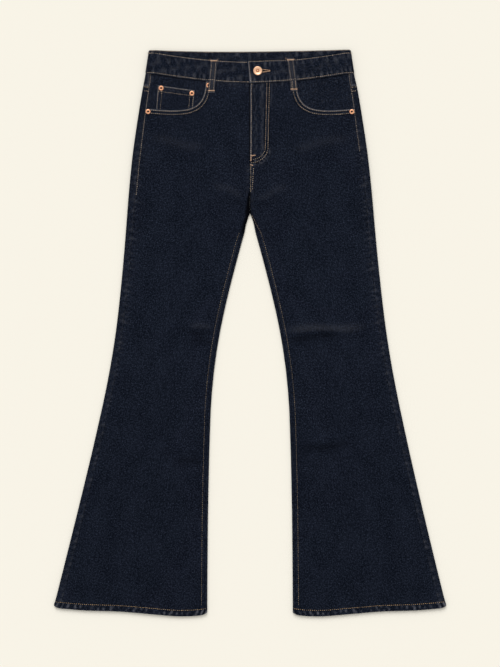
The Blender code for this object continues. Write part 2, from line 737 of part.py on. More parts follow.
for wearers_side in SIDES:
    front_panel(f"front_{wearers_side}", wearers_side, DENIM_CLOTH)
    back_panel(f"back_{wearers_side}", wearers_side, DENIM_CLOTH)
    yoke(f"yoke_{wearers_side}", wearers_side, DENIM_CLOTH)
    pocket_facing(f"pocket_facing_{wearers_side}", wearers_side, DENIM_CLOTH)
    back_pocket(f"back_pocket_{wearers_side}", wearers_side, DENIM_CLOTH)
waistband("waistband", DENIM_CLOTH)
coin_pocket("coin_pocket", DENIM_CLOTH)
fly_facing("fly_facing", DENIM_CLOTH)
fly_zip("fly_zip", ZIP_TAPE)
for front in FRONT_LOOPS:
    front_loop(front, DENIM_CLOTH)
for back in BACK_LOOPS:
    back_loop(back, DENIM_CLOTH)
metal_trim(COPPER)
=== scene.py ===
"""Flared jeans laid on their back on a plain surface, with the front up.

Every piece of cloth is a grid of points on the middle of its wall, which Solidify gives its
thickness. The outlines, seams and levels are read from the frame, and creases, puckers and sewn
ridges are then pressed into the points. The topstitching is real thread, laid on the finished cloth.
"""

from collections import namedtuple
from functools import cache
from math import cos, hypot, pi, radians, sin, sqrt

import bmesh
import bpy
import numpy as np
from bpy.props import FloatProperty, FloatVectorProperty, PointerProperty
from mathutils import Matrix, Vector
from mathutils.bvhtree import BVHTree


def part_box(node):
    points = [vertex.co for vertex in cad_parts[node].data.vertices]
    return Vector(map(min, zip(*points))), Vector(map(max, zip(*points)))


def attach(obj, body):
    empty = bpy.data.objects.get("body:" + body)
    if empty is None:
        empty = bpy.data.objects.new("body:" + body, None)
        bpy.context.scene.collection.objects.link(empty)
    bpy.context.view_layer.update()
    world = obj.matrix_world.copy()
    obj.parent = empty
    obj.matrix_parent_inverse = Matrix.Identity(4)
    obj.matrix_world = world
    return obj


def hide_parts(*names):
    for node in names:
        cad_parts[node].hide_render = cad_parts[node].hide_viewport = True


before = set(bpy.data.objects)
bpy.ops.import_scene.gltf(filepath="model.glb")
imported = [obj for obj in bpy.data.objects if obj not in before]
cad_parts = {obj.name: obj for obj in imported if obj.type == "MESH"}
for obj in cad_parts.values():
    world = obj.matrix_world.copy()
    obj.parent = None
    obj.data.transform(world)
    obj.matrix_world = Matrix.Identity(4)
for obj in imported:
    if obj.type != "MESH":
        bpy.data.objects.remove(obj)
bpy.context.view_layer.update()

bl_info = {
    "name": "Flared Jeans",
    "version": (1, 0, 0),
    "blender": (4, 5, 0),
    "location": "View3D > Sidebar > Jeans",
    "description": "Sews a pair of flared denim jeans laid flat, with stitched seams and copper trim",
    "category": "Add Mesh",
}

MM = 0.001
SIDES = {"right": -1, "left": 1}
FRONT_LOOPS = ("belt_loop_front_right", "belt_loop_front_left")
BACK_LOOPS = ("belt_loop_back_right", "belt_loop_back_centre", "belt_loop_back_left")
RIVETS = [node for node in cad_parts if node.startswith("rivet_")]

# Levels up the garment, in metres from its middle.
HIP = 0.36, 0.42
YOKE_ROWS_Y = 0.47
HEM_SLOPE_Y = -0.28
# Half widths at which the yoke's side end and its lower seam's end are read.
YOKE_SIDE_X, YOKE_END_X = 0.19, 0.199

# Rows of stitches: how far each lies inside the edge that it follows.
FLY_OUTER, FLY_INNER = 0.0, 5.0 * MM
MOUTH_ROWS = (2.0 * MM, 8.0 * MM)
COIN_TOP_ROWS = (1.5 * MM, 11.0 * MM)
COIN_SIDE_ROWS = (1.5 * MM, 8.0 * MM)
BAND_LOW_ROW, BAND_HIGH_ROW, BAND_END_ROW = 2.5 * MM, 1.1 * MM, 1.9 * MM
HEM_ROW = 11.5 * MM
INSEAM_ROW = 5.5 * MM
OUTSEAM_ROW = 1.8 * MM
OUTSEAM_ROW_ENDS = {"left": 0.345, "right": 0.262}
YOKE_ROWS_FRONT, YOKE_ROWS_BACK = (1.9 * MM, 9.4 * MM), (1.9 * MM, 8.4 * MM)


def linear(hex_colour):
    """An sRGB hex colour as linear red, green and blue."""
    channels = [int(hex_colour[i : i + 2], 16) / 255 for i in (1, 3, 5)]
    return tuple(c / 12.92 if c <= 0.04045 else ((c + 0.055) / 1.055) ** 2.4 for c in channels)


# ---------------------------------------------------------------- settings


def size_of(name, description, millimetres):
    return FloatProperty(
        name=name, description=description, default=millimetres * MM, unit="LENGTH", precision=5
    )


def colour_of(name, description, hex_colour):
    return FloatVectorProperty(
        name=name, description=description, subtype="COLOR", default=linear(hex_colour), min=0.0, max=1.0
    )


class JeansClothSettings(bpy.types.PropertyGroup):
    """The denim: its wall, its weave and its dyes, and the colours that paint its wear and its light and
    shade.
    """

    denim: size_of("Denim", "Thickness of one layer of denim", 1.1)
    trim: size_of("Trim", "Thickness of the pockets, facings and other small pieces", 0.95)
    band: size_of("Waistband", "Thickness of the doubled waistband", 2.2)
    loop: size_of("Belt loop", "Thickness of the folded belt loops", 1.6)
    hem: size_of("Hem", "Thickness of the turned hems", 2.2)
    grid: size_of("Grid", "Distance between the points of a leg panel", 4.0)
    twill: size_of("Twill", "Distance between the weave's diagonal lines", 1.3)
    yarn: size_of("Yarn", "Width of the lengthwise streaks of yarn", 2.2)
    fleck: size_of("Fleck", "Size of the pale flecks where the white filling yarn shows", 3.0)
    # Painted shade: this near-black is mixed in wherever the cloth lies in a crease, a groove or between the
    # legs.
    crease_shade: colour_of("Painted crease shade", "Cloth that lies in a crease, where no light reaches", "#010206")
    dark: colour_of("Indigo", "The dyed warp", "#030711")
    light: colour_of("Indigo highlight", "The warp where less dye took", "#313849")
    # Painted light as well as wear: this pale colour paints rubbed edges and also painted highlights on
    # crease and pucker crests.
    worn: colour_of("Rubbed denim", "Folds and seam edges, where the dye has rubbed off", "#696a72")


class JeansReliefSettings(bpy.types.PropertyGroup):
    """How far the cloth stands up in creases, puckers and sewn ridges."""

    crease: size_of("Crease", "Height of the large creases at knee and hip", 2.1)
    wave: size_of("Wave", "Height of the slow waves all over the legs", 0.7)
    pucker: size_of("Pucker", "Height of the puckers beside the seams", 0.55)
    roping: size_of("Roping", "Height of the slanting ropes round the hems", 0.65)
    groove: size_of("Groove", "Depth to which a row of stitches pulls the cloth", 0.4)
    edge: size_of("Turned edge", "Height of a turned and stitched edge over single cloth", 0.55)


class JeansThreadSettings(bpy.types.PropertyGroup):
    """The topstitching."""

    pitch: size_of("Stitch", "Distance from one stitch to the next", 3.8)
    gap: size_of("Gap", "Distance between two stitches, where the thread goes down", 1.8)
    heavy: size_of("Topstitch thread", "Width of the thread on the waistband, pockets, fly and hems", 0.92)
    fine: size_of("Seam thread", "Width of the thread on the side seams, coin pocket and loops", 0.62)
    tan: colour_of("Tan", "Topstitch thread of all but the inseams and hems", "#e2c9ae")
    pale: colour_of("Pale tan", "Finer thread on the inseams", "#bda687")
    golden: colour_of("Golden tan", "Thread of the hems", "#dab688")
    bright: colour_of("Bright tan", "Bartacks and buttonhole", "#efc3a2")


class JeansTrimSettings(bpy.types.PropertyGroup):
    """The copper button and rivets, and the near-black painted shade in the rivets' holes."""

    copper: colour_of("Copper", "Polished rose copper", "#fdcda9")
    rivet: colour_of("Rivet copper", "Copper of the rivets, a little redder", "#f8b78f")
    tarnish: colour_of("Tarnish", "Copper in the recesses", "#a9623e")
    # Painted shade: the near-black given to the middle of each rivet, where its hole lies.
    nail: colour_of("Nail", "Painted shade of the hole in a rivet's middle", "#0b0809")


class JeansStageSettings(bpy.types.PropertyGroup):
    """Floor, lights and camera."""

    floor: colour_of("Floor", "Plain cream backdrop", "#f9f5ea")
    key: FloatProperty(name="Key light", description="Soft light from beyond the waist", default=1.6)
    spread: FloatProperty(
        name="Spread", description="Angle of the key light", default=radians(38), subtype="ANGLE"
    )
    fill: FloatProperty(name="Sky", description="Strength of the even light all round", default=0.66)
    distance: size_of("Camera height", "Height of the camera above the surface", 3200)
    view: size_of("View", "Length of surface that the camera sees", 1267)


def cloth_settings():
    """The denim's settings."""
    return bpy.context.scene.jeans_cloth


def relief():
    """The settings of the creases, puckers and ridges."""
    return bpy.context.scene.jeans_relief


def thread():
    """The topstitching's settings."""
    return bpy.context.scene.jeans_thread


# ---------------------------------------------------------------- plain functions


def mix(a, b, t):
    """A share t of the way from a to b."""
    return a + (b - a) * t


def rise(value, low, high):
    """0 below low, 1 above high, and a smooth step between them."""
    t = np.clip((np.asarray(value, float) - low) / (high - low), 0.0, 1.0)
    return t * t * (3 - 2 * t)


def hill(value, width):
    """1 at zero, falling off smoothly over a width."""
    return np.exp(-((np.asarray(value, float) / width) ** 2))


def fair_line(at, values):
    """A smooth function through values measured at rising places."""
    at, values = np.asarray(at, float), np.asarray(values, float)
    slopes = np.gradient(values, at)

    def line(place):
        place = np.clip(place, at[0], at[-1])
        i = np.clip(np.searchsorted(at, place, side="right") - 1, 0, len(at) - 2)
        step = at[i + 1] - at[i]
        t = (place - at[i]) / step
        start = values[i] * (1 + 2 * t) + slopes[i] * step * t
        end = values[i + 1] * (3 - 2 * t) + slopes[i + 1] * step * (t - 1)
        return start * (1 - t) ** 2 + end * t * t

    return line


def ripple(x, y, seed, wavelength, waves=9):
    """Smooth random hills, about a wavelength apart and mostly between -1 and 1."""
    rng = np.random.default_rng(seed)
    total = 0.0
    for _ in range(waves):
        turn, phase = rng.uniform(0, 2 * pi, 2)
        length = wavelength * rng.uniform(0.7, 1.6)
        total = total + np.cos((x * cos(turn) + y * sin(turn)) * 2 * pi / length + phase)
    return total / sqrt(waves)


def puckers(along, seed, pitch):
    """The uneven little folds that a row of stitches draws up, between -1 and 1."""
    a, b, c = np.random.default_rng(seed).uniform(0, 2 * pi, 3)
    turns = 2 * pi * along / pitch
    phase = turns + 1.1 * np.sin(turns / 3.3 + a) + 0.9 * np.sin(turns / 7.7 + b)
    return np.sin(phase) * (0.7 + 0.3 * np.sin(turns / 5.3 + c))


def walk_along(points, step):
    """Points a step apart, or a little less, along a line of points in the plane."""
    points = np.asarray(points, float)
    lengths = np.hypot(*np.diff(points, axis=0).T)
    walked = np.concatenate([[0.0], np.cumsum(lengths)])
    stops = np.linspace(0.0, walked[-1], max(int(np.ceil(walked[-1] / step)), 1) + 1)
    return np.stack([np.interp(stops, walked, points[:, k]) for k in (0, 1)], axis=1)


def soften(points, passes):
    """Rounds the corners of a line of points, whose ends stay."""
    points = np.array(points, float)
    for _ in range(passes):
        points[1:-1] = (points[:-2] + 2 * points[1:-1] + points[2:]) / 4
    return points


def beside(points, distance):
    """The line of points moved sideways: to its right for a positive distance."""
    points = np.asarray(points, float)
    along = np.gradient(points, axis=0)
    along /= np.linalg.norm(along, axis=1)[:, None]
    return points + distance * np.stack([along[:, 1], -along[:, 0]], axis=1)


def distance_to(points, x, y):
    """How far each place is from a line of points."""
    nearest = np.full(np.shape(x), np.inf)
    for (ax, ay), (bx, by) in zip(points[:-1], points[1:]):
        length = max((bx - ax) ** 2 + (by - ay) ** 2, 1e-12)
        t = np.clip(((x - ax) * (bx - ax) + (y - ay) * (by - ay)) / length, 0.0, 1.0)
        nearest = np.minimum(nearest, np.hypot(x - ax - t * (bx - ax), y - ay - t * (by - ay)))
    return nearest


EDGE_STEPS = np.array([0, 0.35, 0.8, 1.4, 2.1, 2.9, 3.8, 4.8, 5.9, 7.0, 8.1, 9.2, 10.3, 11.5, 13, 15]) * MM


NO_GRADING = np.zeros(1)


def graded(length, step, start=EDGE_STEPS, end=EDGE_STEPS):
    """Shares of a length from 0 to 1, finely spaced at the start and at the end."""
    free = length - start[-1] - end[-1]
    middle = np.linspace(start[-1], length - end[-1], max(int(round(free / step)), 1) + 1)[1:-1]
    return np.concatenate([start, middle, length - end[::-1]]) / length


# ---------------------------------------------------------------- reading the frame


@cache
def edges_of(node):
    """A CAD node's points, as an (n, 3) array, and the pairs of them that its edges join."""
    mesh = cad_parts[node].data
    points = np.empty(len(mesh.vertices) * 3)
    mesh.vertices.foreach_get("co", points)
    pairs = np.empty(len(mesh.edges) * 2, int)
    mesh.edges.foreach_get("vertices", pairs)
    return points.reshape(-1, 3), pairs.reshape(-1, 2)


def cut(node, axis, place):
    """Where the edges of a CAD node cross the plane at a place on an axis, as an (n, 3) array."""
    points, pairs = edges_of(node)
    a, b = points[pairs[:, 0]], points[pairs[:, 1]]
    crossing = (a[:, axis] - place) * (b[:, axis] - place) < 0
    a, b = a[crossing], b[crossing]
    t = (place - a[:, axis]) / (b[:, axis] - a[:, axis])
    return a + (b - a) * t[:, None]


def corner(node, towards_x, towards_y):
    """The corner of a flat CAD node that lies furthest in a direction."""
    points = edges_of(node)[0]
    return points[np.argmax(points[:, 0] * towards_x + points[:, 1] * towards_y), :2].copy()


class HeightMap:
    """The upper face of some CAD nodes, measured on a lattice and smoothed."""

    SPACING = 6 * MM

    def __init__(self, nodes, passes=5):
        trees = [tree_of(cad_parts[node]) for node in nodes]
        boxes = [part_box(node) for node in nodes]
        low = [min(box[0][k] for box in boxes) for k in (0, 1)]
        high = [max(box[1][k] for box in boxes) for k in (0, 1)]
        self.low = low
        count = [int((high[k] - low[k]) / self.SPACING) + 2 for k in (0, 1)]
        heights = np.empty(count)
        for i in range(count[0]):
            for j in range(count[1]):
                x, y = low[0] + i * self.SPACING, low[1] + j * self.SPACING
                heights[i, j] = topmost(trees, x, y)
        for _ in range(passes):
            padded = np.pad(heights, 1, mode="edge")
            across = padded[:-2, 1:-1] + padded[2:, 1:-1]
            along = padded[1:-1, :-2] + padded[1:-1, 2:]
            heights = (across + along) / 8 + heights / 2
        self.heights = heights

    def __call__(self, x, y):
        """The height at some places, between those measured."""
        i = np.clip((np.asarray(x) - self.low[0]) / self.SPACING, 0, self.heights.shape[0] - 1.001)
        j = np.clip((np.asarray(y) - self.low[1]) / self.SPACING, 0, self.heights.shape[1] - 1.001)
        i0, j0 = i.astype(int), j.astype(int)
        s, t = i - i0, j - j0
        h = self.heights
        near = h[i0, j0] * (1 - s) + h[i0 + 1, j0] * s
        far = h[i0, j0 + 1] * (1 - s) + h[i0 + 1, j0 + 1] * s
        return near * (1 - t) + far * t


def tree_of(obj):
    """A search tree over an object's finished faces."""
    return BVHTree.FromObject(obj, bpy.context.evaluated_depsgraph_get())


def topmost(trees, x, y, reach=20 * MM):
    """The highest point of some trees over a place, or of the nearest face where there is none."""
    hits = [tree.ray_cast(Vector((x, y, 1.0)), Vector((0, 0, -1))) for tree in trees]
    heights = [hit[0].z for hit in hits if hit[0] is not None]
    if heights:
        return max(heights)
    nearest = [tree.find_nearest(Vector((x, y, reach))) for tree in trees]
    return min(nearest, key=lambda found: found[3])[0].z


def lowest_of(trees, x, y):
    """The lowest point of some trees over a place, or None."""
    hits = [tree.ray_cast(Vector((x, y, -1.0)), Vector((0, 0, 1))) for tree in trees]
    heights = [hit[0].z for hit in hits if hit[0] is not None]
    return min(heights) if heights else None


class Leg:
    """One side's outlines and seams. Half widths are distances from the middle of the garment."""

    SEAM_HALF = 0.15 * MM
    SWAY, SWAY_Y, SWAY_REACH = 2.1 * MM, -0.05, 0.29
    SAG_OUT, SAG_IN = 4.2 * MM, 1.6 * MM
    BELOW_MOUTH = 42 * MM
    HIP_TUCK = {"left": 1.4 * MM, "right": 0.5 * MM}
    SEEDS = {"left": 11, "right": 29}

    def __init__(self, side):
        self.side, self.sign, self.seed = side, SIDES[side], self.SEEDS[side]
        self.front, self.back, self.yoke = f"front_{side}", f"back_{side}", f"yoke_{side}"
        self.hem_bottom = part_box(self.back)[0][1]
        self.side_band_y = float(cut(self.yoke, 0, self.sign * YOKE_SIDE_X)[:, 1].max())
        levels = np.linspace(self.hem_bottom + 23 * MM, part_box("waistband")[1][1] - 4 * MM, 60) + 0.01 * MM
        outer, low, high, seam = [], [], [], []
        for y in levels:
            found = np.concatenate([cut(node, 1, y) for node in (self.back, self.yoke, "waistband")])
            found = found[found[:, 0] * self.sign > 0.03]
            half = np.abs(found[:, 0])
            outer.append(half.max())
            low.append(found[:, 2].min())
            high.append(found[half > half.max() - 6 * MM, 2].max())
            turned_up = (found[:, 2] > high[-1] - 0.3 * MM) & (half > half.max() - 20 * MM)
            seam.append(half[turned_up].min() - self.SEAM_HALF)
        below_band = levels < self.side_band_y - 2 * MM
        self.pattern_outer = fair_line(levels, outer)
        self.low = fair_line(levels, low)
        self.fold_high = fair_line(levels, high)
        self.pattern_seam = fair_line(levels[below_band], np.array(seam)[below_band])
        self.measure_inseam(levels)
        self.measure_hem()
        self.measure_top()

    def drift(self, y):
        """How far the cloth at the outer edge lies out of its symmetrical place: the legs sway."""
        sway = self.sign * self.SWAY * hill(y - self.SWAY_Y, self.SWAY_REACH)
        return sway - self.HIP_TUCK[self.side] * rise(y, 0.455, 0.50)

    def outer(self, y):
        """Half width of the leg's outer edge."""
        return self.pattern_outer(y) + self.drift(y)

    def seam_out(self, y):
        """Half width of the outseam."""
        return self.pattern_seam(y) + self.drift(y)

    def measure_inseam(self, levels):
        """The inner edge and the inseam, below the level at which the legs part."""
        crotch = 150 * MM
        while np.abs(cut(self.back, 1, crotch + 0.01 * MM)[:, 0]).min() > 0.6 * MM:
            crotch += 1 * MM
        near = crotch - np.arange(40, 2, -3) * MM + 0.01 * MM
        apart = [*levels[levels < near[0] - 4 * MM], *near]
        inner = [np.abs(cut(self.back, 1, y)[:, 0]).min() for y in apart]
        seam = [np.abs(cut(self.front, 1, y)[:, 0]).min() for y in apart]
        self.crotch = crotch
        self.inner = fair_line(apart + [crotch], inner + [0.0])
        self.inseam = fair_line(apart + [crotch], seam + [self.SEAM_HALF])

    def seam_in(self, y):
        """Half width of the front panel's inner edge: the centre seam, then the inseam."""
        return np.where(y > self.crotch, self.SEAM_HALF, self.inseam(y))

    def measure_hem(self):
        """The hem's lower edge, as a function of how far across the leg a point lies."""
        xs = [abs(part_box(self.back)[k][0]) for k in (0, 1)]
        outer_x = max(xs) - 1.5 * MM
        inner_x = float(self.inner(self.hem_bottom + 24 * MM)) + 1.5 * MM
        places = np.linspace(inner_x, outer_x, 60)
        lows = [cut(self.back, 0, self.sign * x)[:, 1].min() for x in places]
        shares, levels = soften(np.stack([(places - inner_x) / (outer_x - inner_x), lows], axis=1), 25).T
        sagging = self.SAG_OUT * rise(shares, 0.52, 0.86) + self.SAG_IN * (1 - rise(shares, 0.0, 0.16))
        self.hem_line = fair_line(shares, levels - sagging)
        self.hem_corner = float(lows[-1])

    def measure_top(self):
        """The front panel's top edge from the centre: the waist seam, then the pocket mouth."""
        end = np.abs(corner(self.front, self.sign, 1.0))
        places = np.arange(self.SEAM_HALF + 0.1 * MM, end[0] - 0.2 * MM, 0.5 * MM)
        places = np.append(places, end[0] - 0.1 * MM)
        tops = [cut(self.front, 0, self.sign * x)[:, 1].max() for x in places]
        line = walk_along(np.stack([places, tops], axis=1), 1 * MM)
        start = np.argmax(np.abs(np.diff(line[:, 1])) > 2 * np.abs(np.diff(line[:, 0])))
        self.waist_line = line[: start + 1]
        self.mouth_line = soften(line[start:], 40)
        self.top_line = np.concatenate([self.waist_line, self.mouth_line[1:]])
        self.full_y = self.top_line[-1][1] - self.BELOW_MOUTH


class Band:
    """The waistband's edges and levels, read from the frame."""

    PLACES = np.array([0.004, 0.03, 0.06, 0.09, 0.12, 0.145, 0.165, 0.18])
    END_SHIFT, END_RISE, RAMP = 0.8 * MM, 1.3 * MM, 29 * MM
    SLACK, SLACK_X, SLACK_REACH = 2.1 * MM, 0.06, 0.16

    def __init__(self):
        node = "waistband"
        low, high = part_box(node)
        section = cut(node, 0, -0.1)
        middle = (section[:, 2].min() + section[:, 2].max()) / 2
        self.lines = {}
        for facing in (-1, 1):
            found = [cut(node, 0, -x) for x in self.PLACES]
            found = [points[(points[:, 2] - middle) * facing > 0] for points in found]
            self.lines[facing] = (
                fair_line(self.PLACES, [points[:, 1].min() for points in found]),
                fair_line(self.PLACES, [points[:, 1].max() for points in found]),
            )
        self.back_low, self.front_high = section[:, 2].min(), section[:, 2].max()
        self.top_high = high.z
        half_way = (low.y + high.y) / 2
        across = cut(node, 1, half_way)
        self.widest = float(np.abs(across[:, 0]).max())
        self.overlap_end = self.end_near(half_way)
        levels = half_way + np.array([-16, 4]) * MM
        ends = [self.end_near(y) for y in levels]
        self.end_slope = (ends[1] - ends[0]) / (levels[1] - levels[0])
        self.half_way = half_way
        under = across[(across[:, 2] < self.front_high + 0.1 * MM) & (across[:, 2] > middle)]
        self.underlap_end = float(under[(under[:, 0] > 0) & (under[:, 0] < 0.045), 0].max())
        self.ramp_end = self.underlap_end + self.RAMP

    def end_near(self, y):
        """Where the overlap of the CAD band ends at a level."""
        across = cut("waistband", 1, y)
        return float(across[across[:, 2] > self.front_high + 1 * MM, 0].min())

    def overlap_at(self, y):
        """Where the overlap ends at a level."""
        return self.overlap_end - self.END_SHIFT + self.end_slope * (y - self.half_way)

    def lap(self, x):
        """1 where the band lies over its other end, falling to 0 where it comes down to the front."""
        return 1 - rise(x, self.underlap_end + 3 * MM, self.ramp_end)

    def lapped_top(self, x):
        """The upper edge of the overlap, which sits a little above the underlap's."""
        return self.top(x) + self.END_RISE * self.lap(x)

    def bottom(self, x, facing=1.0):
        """The lower edge: facing is 1 on the front and -1 on the back."""
        back, front = (self.lines[k][0](np.abs(x)) for k in (-1, 1))
        return mix(back, front, (1 + facing) / 2)

    def top(self, x, facing=1.0):
        """The upper edge, which stands higher at the back, whose inside shows."""
        back, front = (self.lines[k][1](np.abs(x)) for k in (-1, 1))
        slack = self.SLACK * hill(np.asarray(x) - self.SLACK_X, self.SLACK_REACH)
        return mix(back + slack, front, (1 + facing) / 2)


LEGS = {side: Leg(side) for side in SIDES}
BAND = Band()

# ---------------------------------------------------------------- cloth

cloth_made = []


def mesh_of(bm, name):
    """A finished bmesh as a mesh."""
    mesh = bpy.data.meshes.new(name)
    bm.to_mesh(mesh)
    bm.free()
    return mesh


def add_object(name, mesh, looks):
    """A finished mesh as an object of the scene, on the garment's one body."""
    for look in looks:
        mesh.materials.append(look)
    mesh.shade_smooth()
    made = bpy.data.objects.new(name, mesh)
    bpy.context.scene.collection.objects.link(made)
    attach(made, "root")
    return made


def plan_of(x, y):
    """A line of points in the plane, from their places and levels."""
    return np.stack(np.broadcast_arrays(x, y), axis=1)


def from_border(grid):
    """How far each point of a grid is from the grid's border, along its row and its column."""
    nearest = np.inf
    for axis in (0, 1):
        steps = np.linalg.norm(np.diff(grid, axis=axis), axis=2)
        start = np.zeros_like(steps.take([0], axis=axis))
        walked = np.concatenate([start, np.cumsum(steps, axis=axis)], axis=axis)
        nearest = np.minimum(nearest, np.minimum(walked, walked.take([-1], axis=axis) - walked))
    return nearest


def walked_grid(grid):
    """Distances across and along a grid of points, for the weave to follow."""
    across = np.linalg.norm(np.diff(grid, axis=1), axis=2)
    along = np.linalg.norm(np.diff(grid, axis=0), axis=2)
    u = np.concatenate([np.zeros((len(grid), 1)), np.cumsum(across, axis=1)], axis=1)
    v = np.concatenate([np.zeros((1, grid.shape[1])), np.cumsum(along, axis=0)], axis=0)
    return u - u.mean(axis=1, keepdims=True), v


def grid_mesh(name, points, weave, worn):
    """A mesh of a grid of points with its weave, its wear and painted light and shade, and each vertex's row
    and column.
    """
    rows, columns = points.shape[:2]
    bm = bmesh.new()
    bmesh.ops.create_grid(bm, x_segments=columns - 1, y_segments=rows - 1, size=1.0)
    mesh = mesh_of(bm, name)
    unit = np.empty(len(mesh.vertices) * 3)
    mesh.vertices.foreach_get("co", unit)
    share = (unit.reshape(-1, 3) + 1) / 2
    place = tuple(np.rint(share[:, k] * (count - 1)).astype(int) for k, count in ((1, rows), (0, columns)))
    mesh.vertices.foreach_set("co", points[place].ravel())
    at = np.empty(len(mesh.loops), int)
    mesh.loops.foreach_get("vertex_index", at)
    mesh.uv_layers.new(name="weave").data.foreach_set("uv", weave[place][at].ravel())
    mesh.attributes.new("worn", "FLOAT", "POINT").data.foreach_set("value", worn[place])
    mesh.update()
    return mesh, place


def give_wall(made, grid, wall, place):
    """Thickens a sheet to its wall, which is rounded over at the border."""
    walls = np.broadcast_to(np.asarray(wall, float), grid.shape[:2])
    inside = np.clip(from_border(grid) / (0.55 * walls), 0, 1)
    rounded = np.maximum(np.sqrt(1 - (1 - inside) ** 2), 0.12)
    share = (walls / walls.max() * rounded)[place].round(3)
    group = made.vertex_groups.new(name="wall")
    for weight in np.unique(share):
        group.add(np.flatnonzero(share == weight).tolist(), float(weight), "REPLACE")
    shell = made.modifiers.new("Wall", "SOLIDIFY")
    shell.thickness = walls.max()
    shell.offset = 0.0
    shell.vertex_group = "wall"
    shell.use_rim = True


def cloth_piece(name, node, grid, wall, look, lift=0.0, worn=0.0):
    """A wall of cloth round a grid of points, with its edges rounded over.

    The grid is flat cloth, and the lift is what its creases add to its heights. The wall is one
    thickness or one for each point.
    """
    points = grid.copy()
    points[..., 2] += lift
    # rubbed carries wear and painted light and shade; below zero it is painted shade.
    rubbed = np.broadcast_to(np.clip(worn, -1, 1), grid.shape[:2])
    mesh, place = grid_mesh(name, points, np.stack(walked_grid(grid), axis=2), rubbed)
    made = add_object(name, mesh, [look])
    give_wall(made, grid, wall, place)
    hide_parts(node)
    cloth_made.append(made)
    return made


def signed(leg, grid):
    """A grid of half widths as a grid of places."""
    return grid * np.array([leg.sign, 1.0, 1.0])


def hem_levels(leg, nominal, x):
    """The level of points in rows that slope down to the hem's line."""
    share = np.clip((HEM_SLOPE_Y - nominal) / (HEM_SLOPE_Y - leg.hem_corner), 0, 1)
    across = np.clip((x - leg.inner(nominal)) / (leg.outer(nominal) - leg.inner(nominal)), 0, 1)
    return nominal + share * (leg.hem_line(across) - leg.hem_corner)


def hem_wall(above_hem):
    """The wall of a leg panel, which is thicker in the turned hem."""
    s = cloth_settings()
    return mix(s.hem, s.denim, rise(above_hem, HEM_ROW - 1 * MM, HEM_ROW + 1 * MM))


def rounded_corners(leg, x, y, above_hem):
    """How far the hem's two corners are rounded up."""
    width, height = 15 * MM, 5.5 * MM
    from_edge = np.clip(np.minimum(x - leg.inner(y), leg.outer(y) - x), 0, width)
    return height * (1 - np.sqrt(1 - (1 - from_edge / width) ** 2)) * (1 - rise(above_hem, 0, 12 * MM))


# The large folds of the legs. Each runs from its inner to its outer end, given as half widths and
# levels in metres, and rises or sinks by its height as a share of the crease setting.
Crease = namedtuple("Crease", "side in_x in_y out_x out_y width height")
CREASES = (
    Crease("left", 0.073, 0.006, 0.220, 0.013, 0.0075, 1.0),
    Crease("left", 0.070, -0.010, 0.180, -0.002, 0.0070, -0.9),
    Crease("left", 0.104, -0.204, 0.213, -0.190, 0.0080, 0.75),
    Crease("left", 0.095, -0.221, 0.194, -0.208, 0.0075, -0.7),
    Crease("right", 0.071, 0.013, 0.120, 0.012, 0.0065, 0.6),
    Crease("right", 0.068, 0.001, 0.132, 0.004, 0.0065, -0.7),
    Crease("right", 0.071, -0.015, 0.116, -0.013, 0.0060, -0.6),
    Crease("right", 0.093, -0.243, 0.145, -0.241, 0.0070, -0.6),
    Crease("right", 0.100, -0.222, 0.200, -0.210, 0.0085, 0.55),
    Crease("right", 0.090, 0.352, 0.190, 0.372, 0.0080, 0.40),
    Crease("left", 0.085, 0.350, 0.190, 0.374, 0.0080, 0.40),
    Crease("right", 0.016, 0.262, 0.070, 0.285, 0.0060, 0.45),
    Crease("left", 0.014, 0.255, 0.072, 0.280, 0.0060, 0.45),
    Crease("right", 0.010, 0.243, 0.055, 0.255, 0.0050, -0.40),
    Crease("left", 0.012, 0.240, 0.060, 0.256, 0.0050, -0.40),
)


def creases(side, x, y):
    """The large folds of one leg: their height as a share, strongest in their middle."""
    total = 0.0
    for crease in (each for each in CREASES if each.side == side):
        run = np.array([crease.out_x - crease.in_x, crease.out_y - crease.in_y])
        length = hypot(*run)
        along = ((x - crease.in_x) * run[0] + (y - crease.in_y) * run[1]) / length
        away = ((y - crease.in_y) * run[0] - (x - crease.in_x) * run[1]) / length
        away = away + 2 * MM * np.sin(along / length * 7 + crease.in_x * 900)
        window = rise(along, -0.10 * length, 0.18 * length) * (1 - rise(along, 0.7 * length, 1.1 * length))
        total = total + crease.height * hill(away, crease.width) * window
    return total


def fly_row(inset):
    """A row of the fly's J from the waistband to the centre seam, an inset inside the fly's edge."""
    low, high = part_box("fly_facing")
    turn_y = low.y + 31 * MM
    wide = high.x - 1.5 * MM - inset
    straight = [(wide, BAND.bottom(wide) - 0.5 * MM), (wide - 3 * MM, turn_y)]
    reach, drop = wide - 4 * MM, turn_y - low.y - 2.5 * MM - 1.2 * inset
    turn = [(1 * MM + reach * cos(a), turn_y - drop * sin(a)) for a in np.linspace(0, pi / 2, 14)[1:]]
    return np.array(straight + turn)


BUTTONHOLE_DROP, BUTTONHOLE_LENGTH = 1.0 * MM, 21.5 * MM


def buttonhole():
    """The slit from the button's shank to the buttonhole's end."""
    low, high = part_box("button")
    x, y = (low.x + high.x) / 2, (low.y + high.y) / 2 - BUTTONHOLE_DROP
    return [(x, y), (x + BUTTONHOLE_LENGTH, y)]


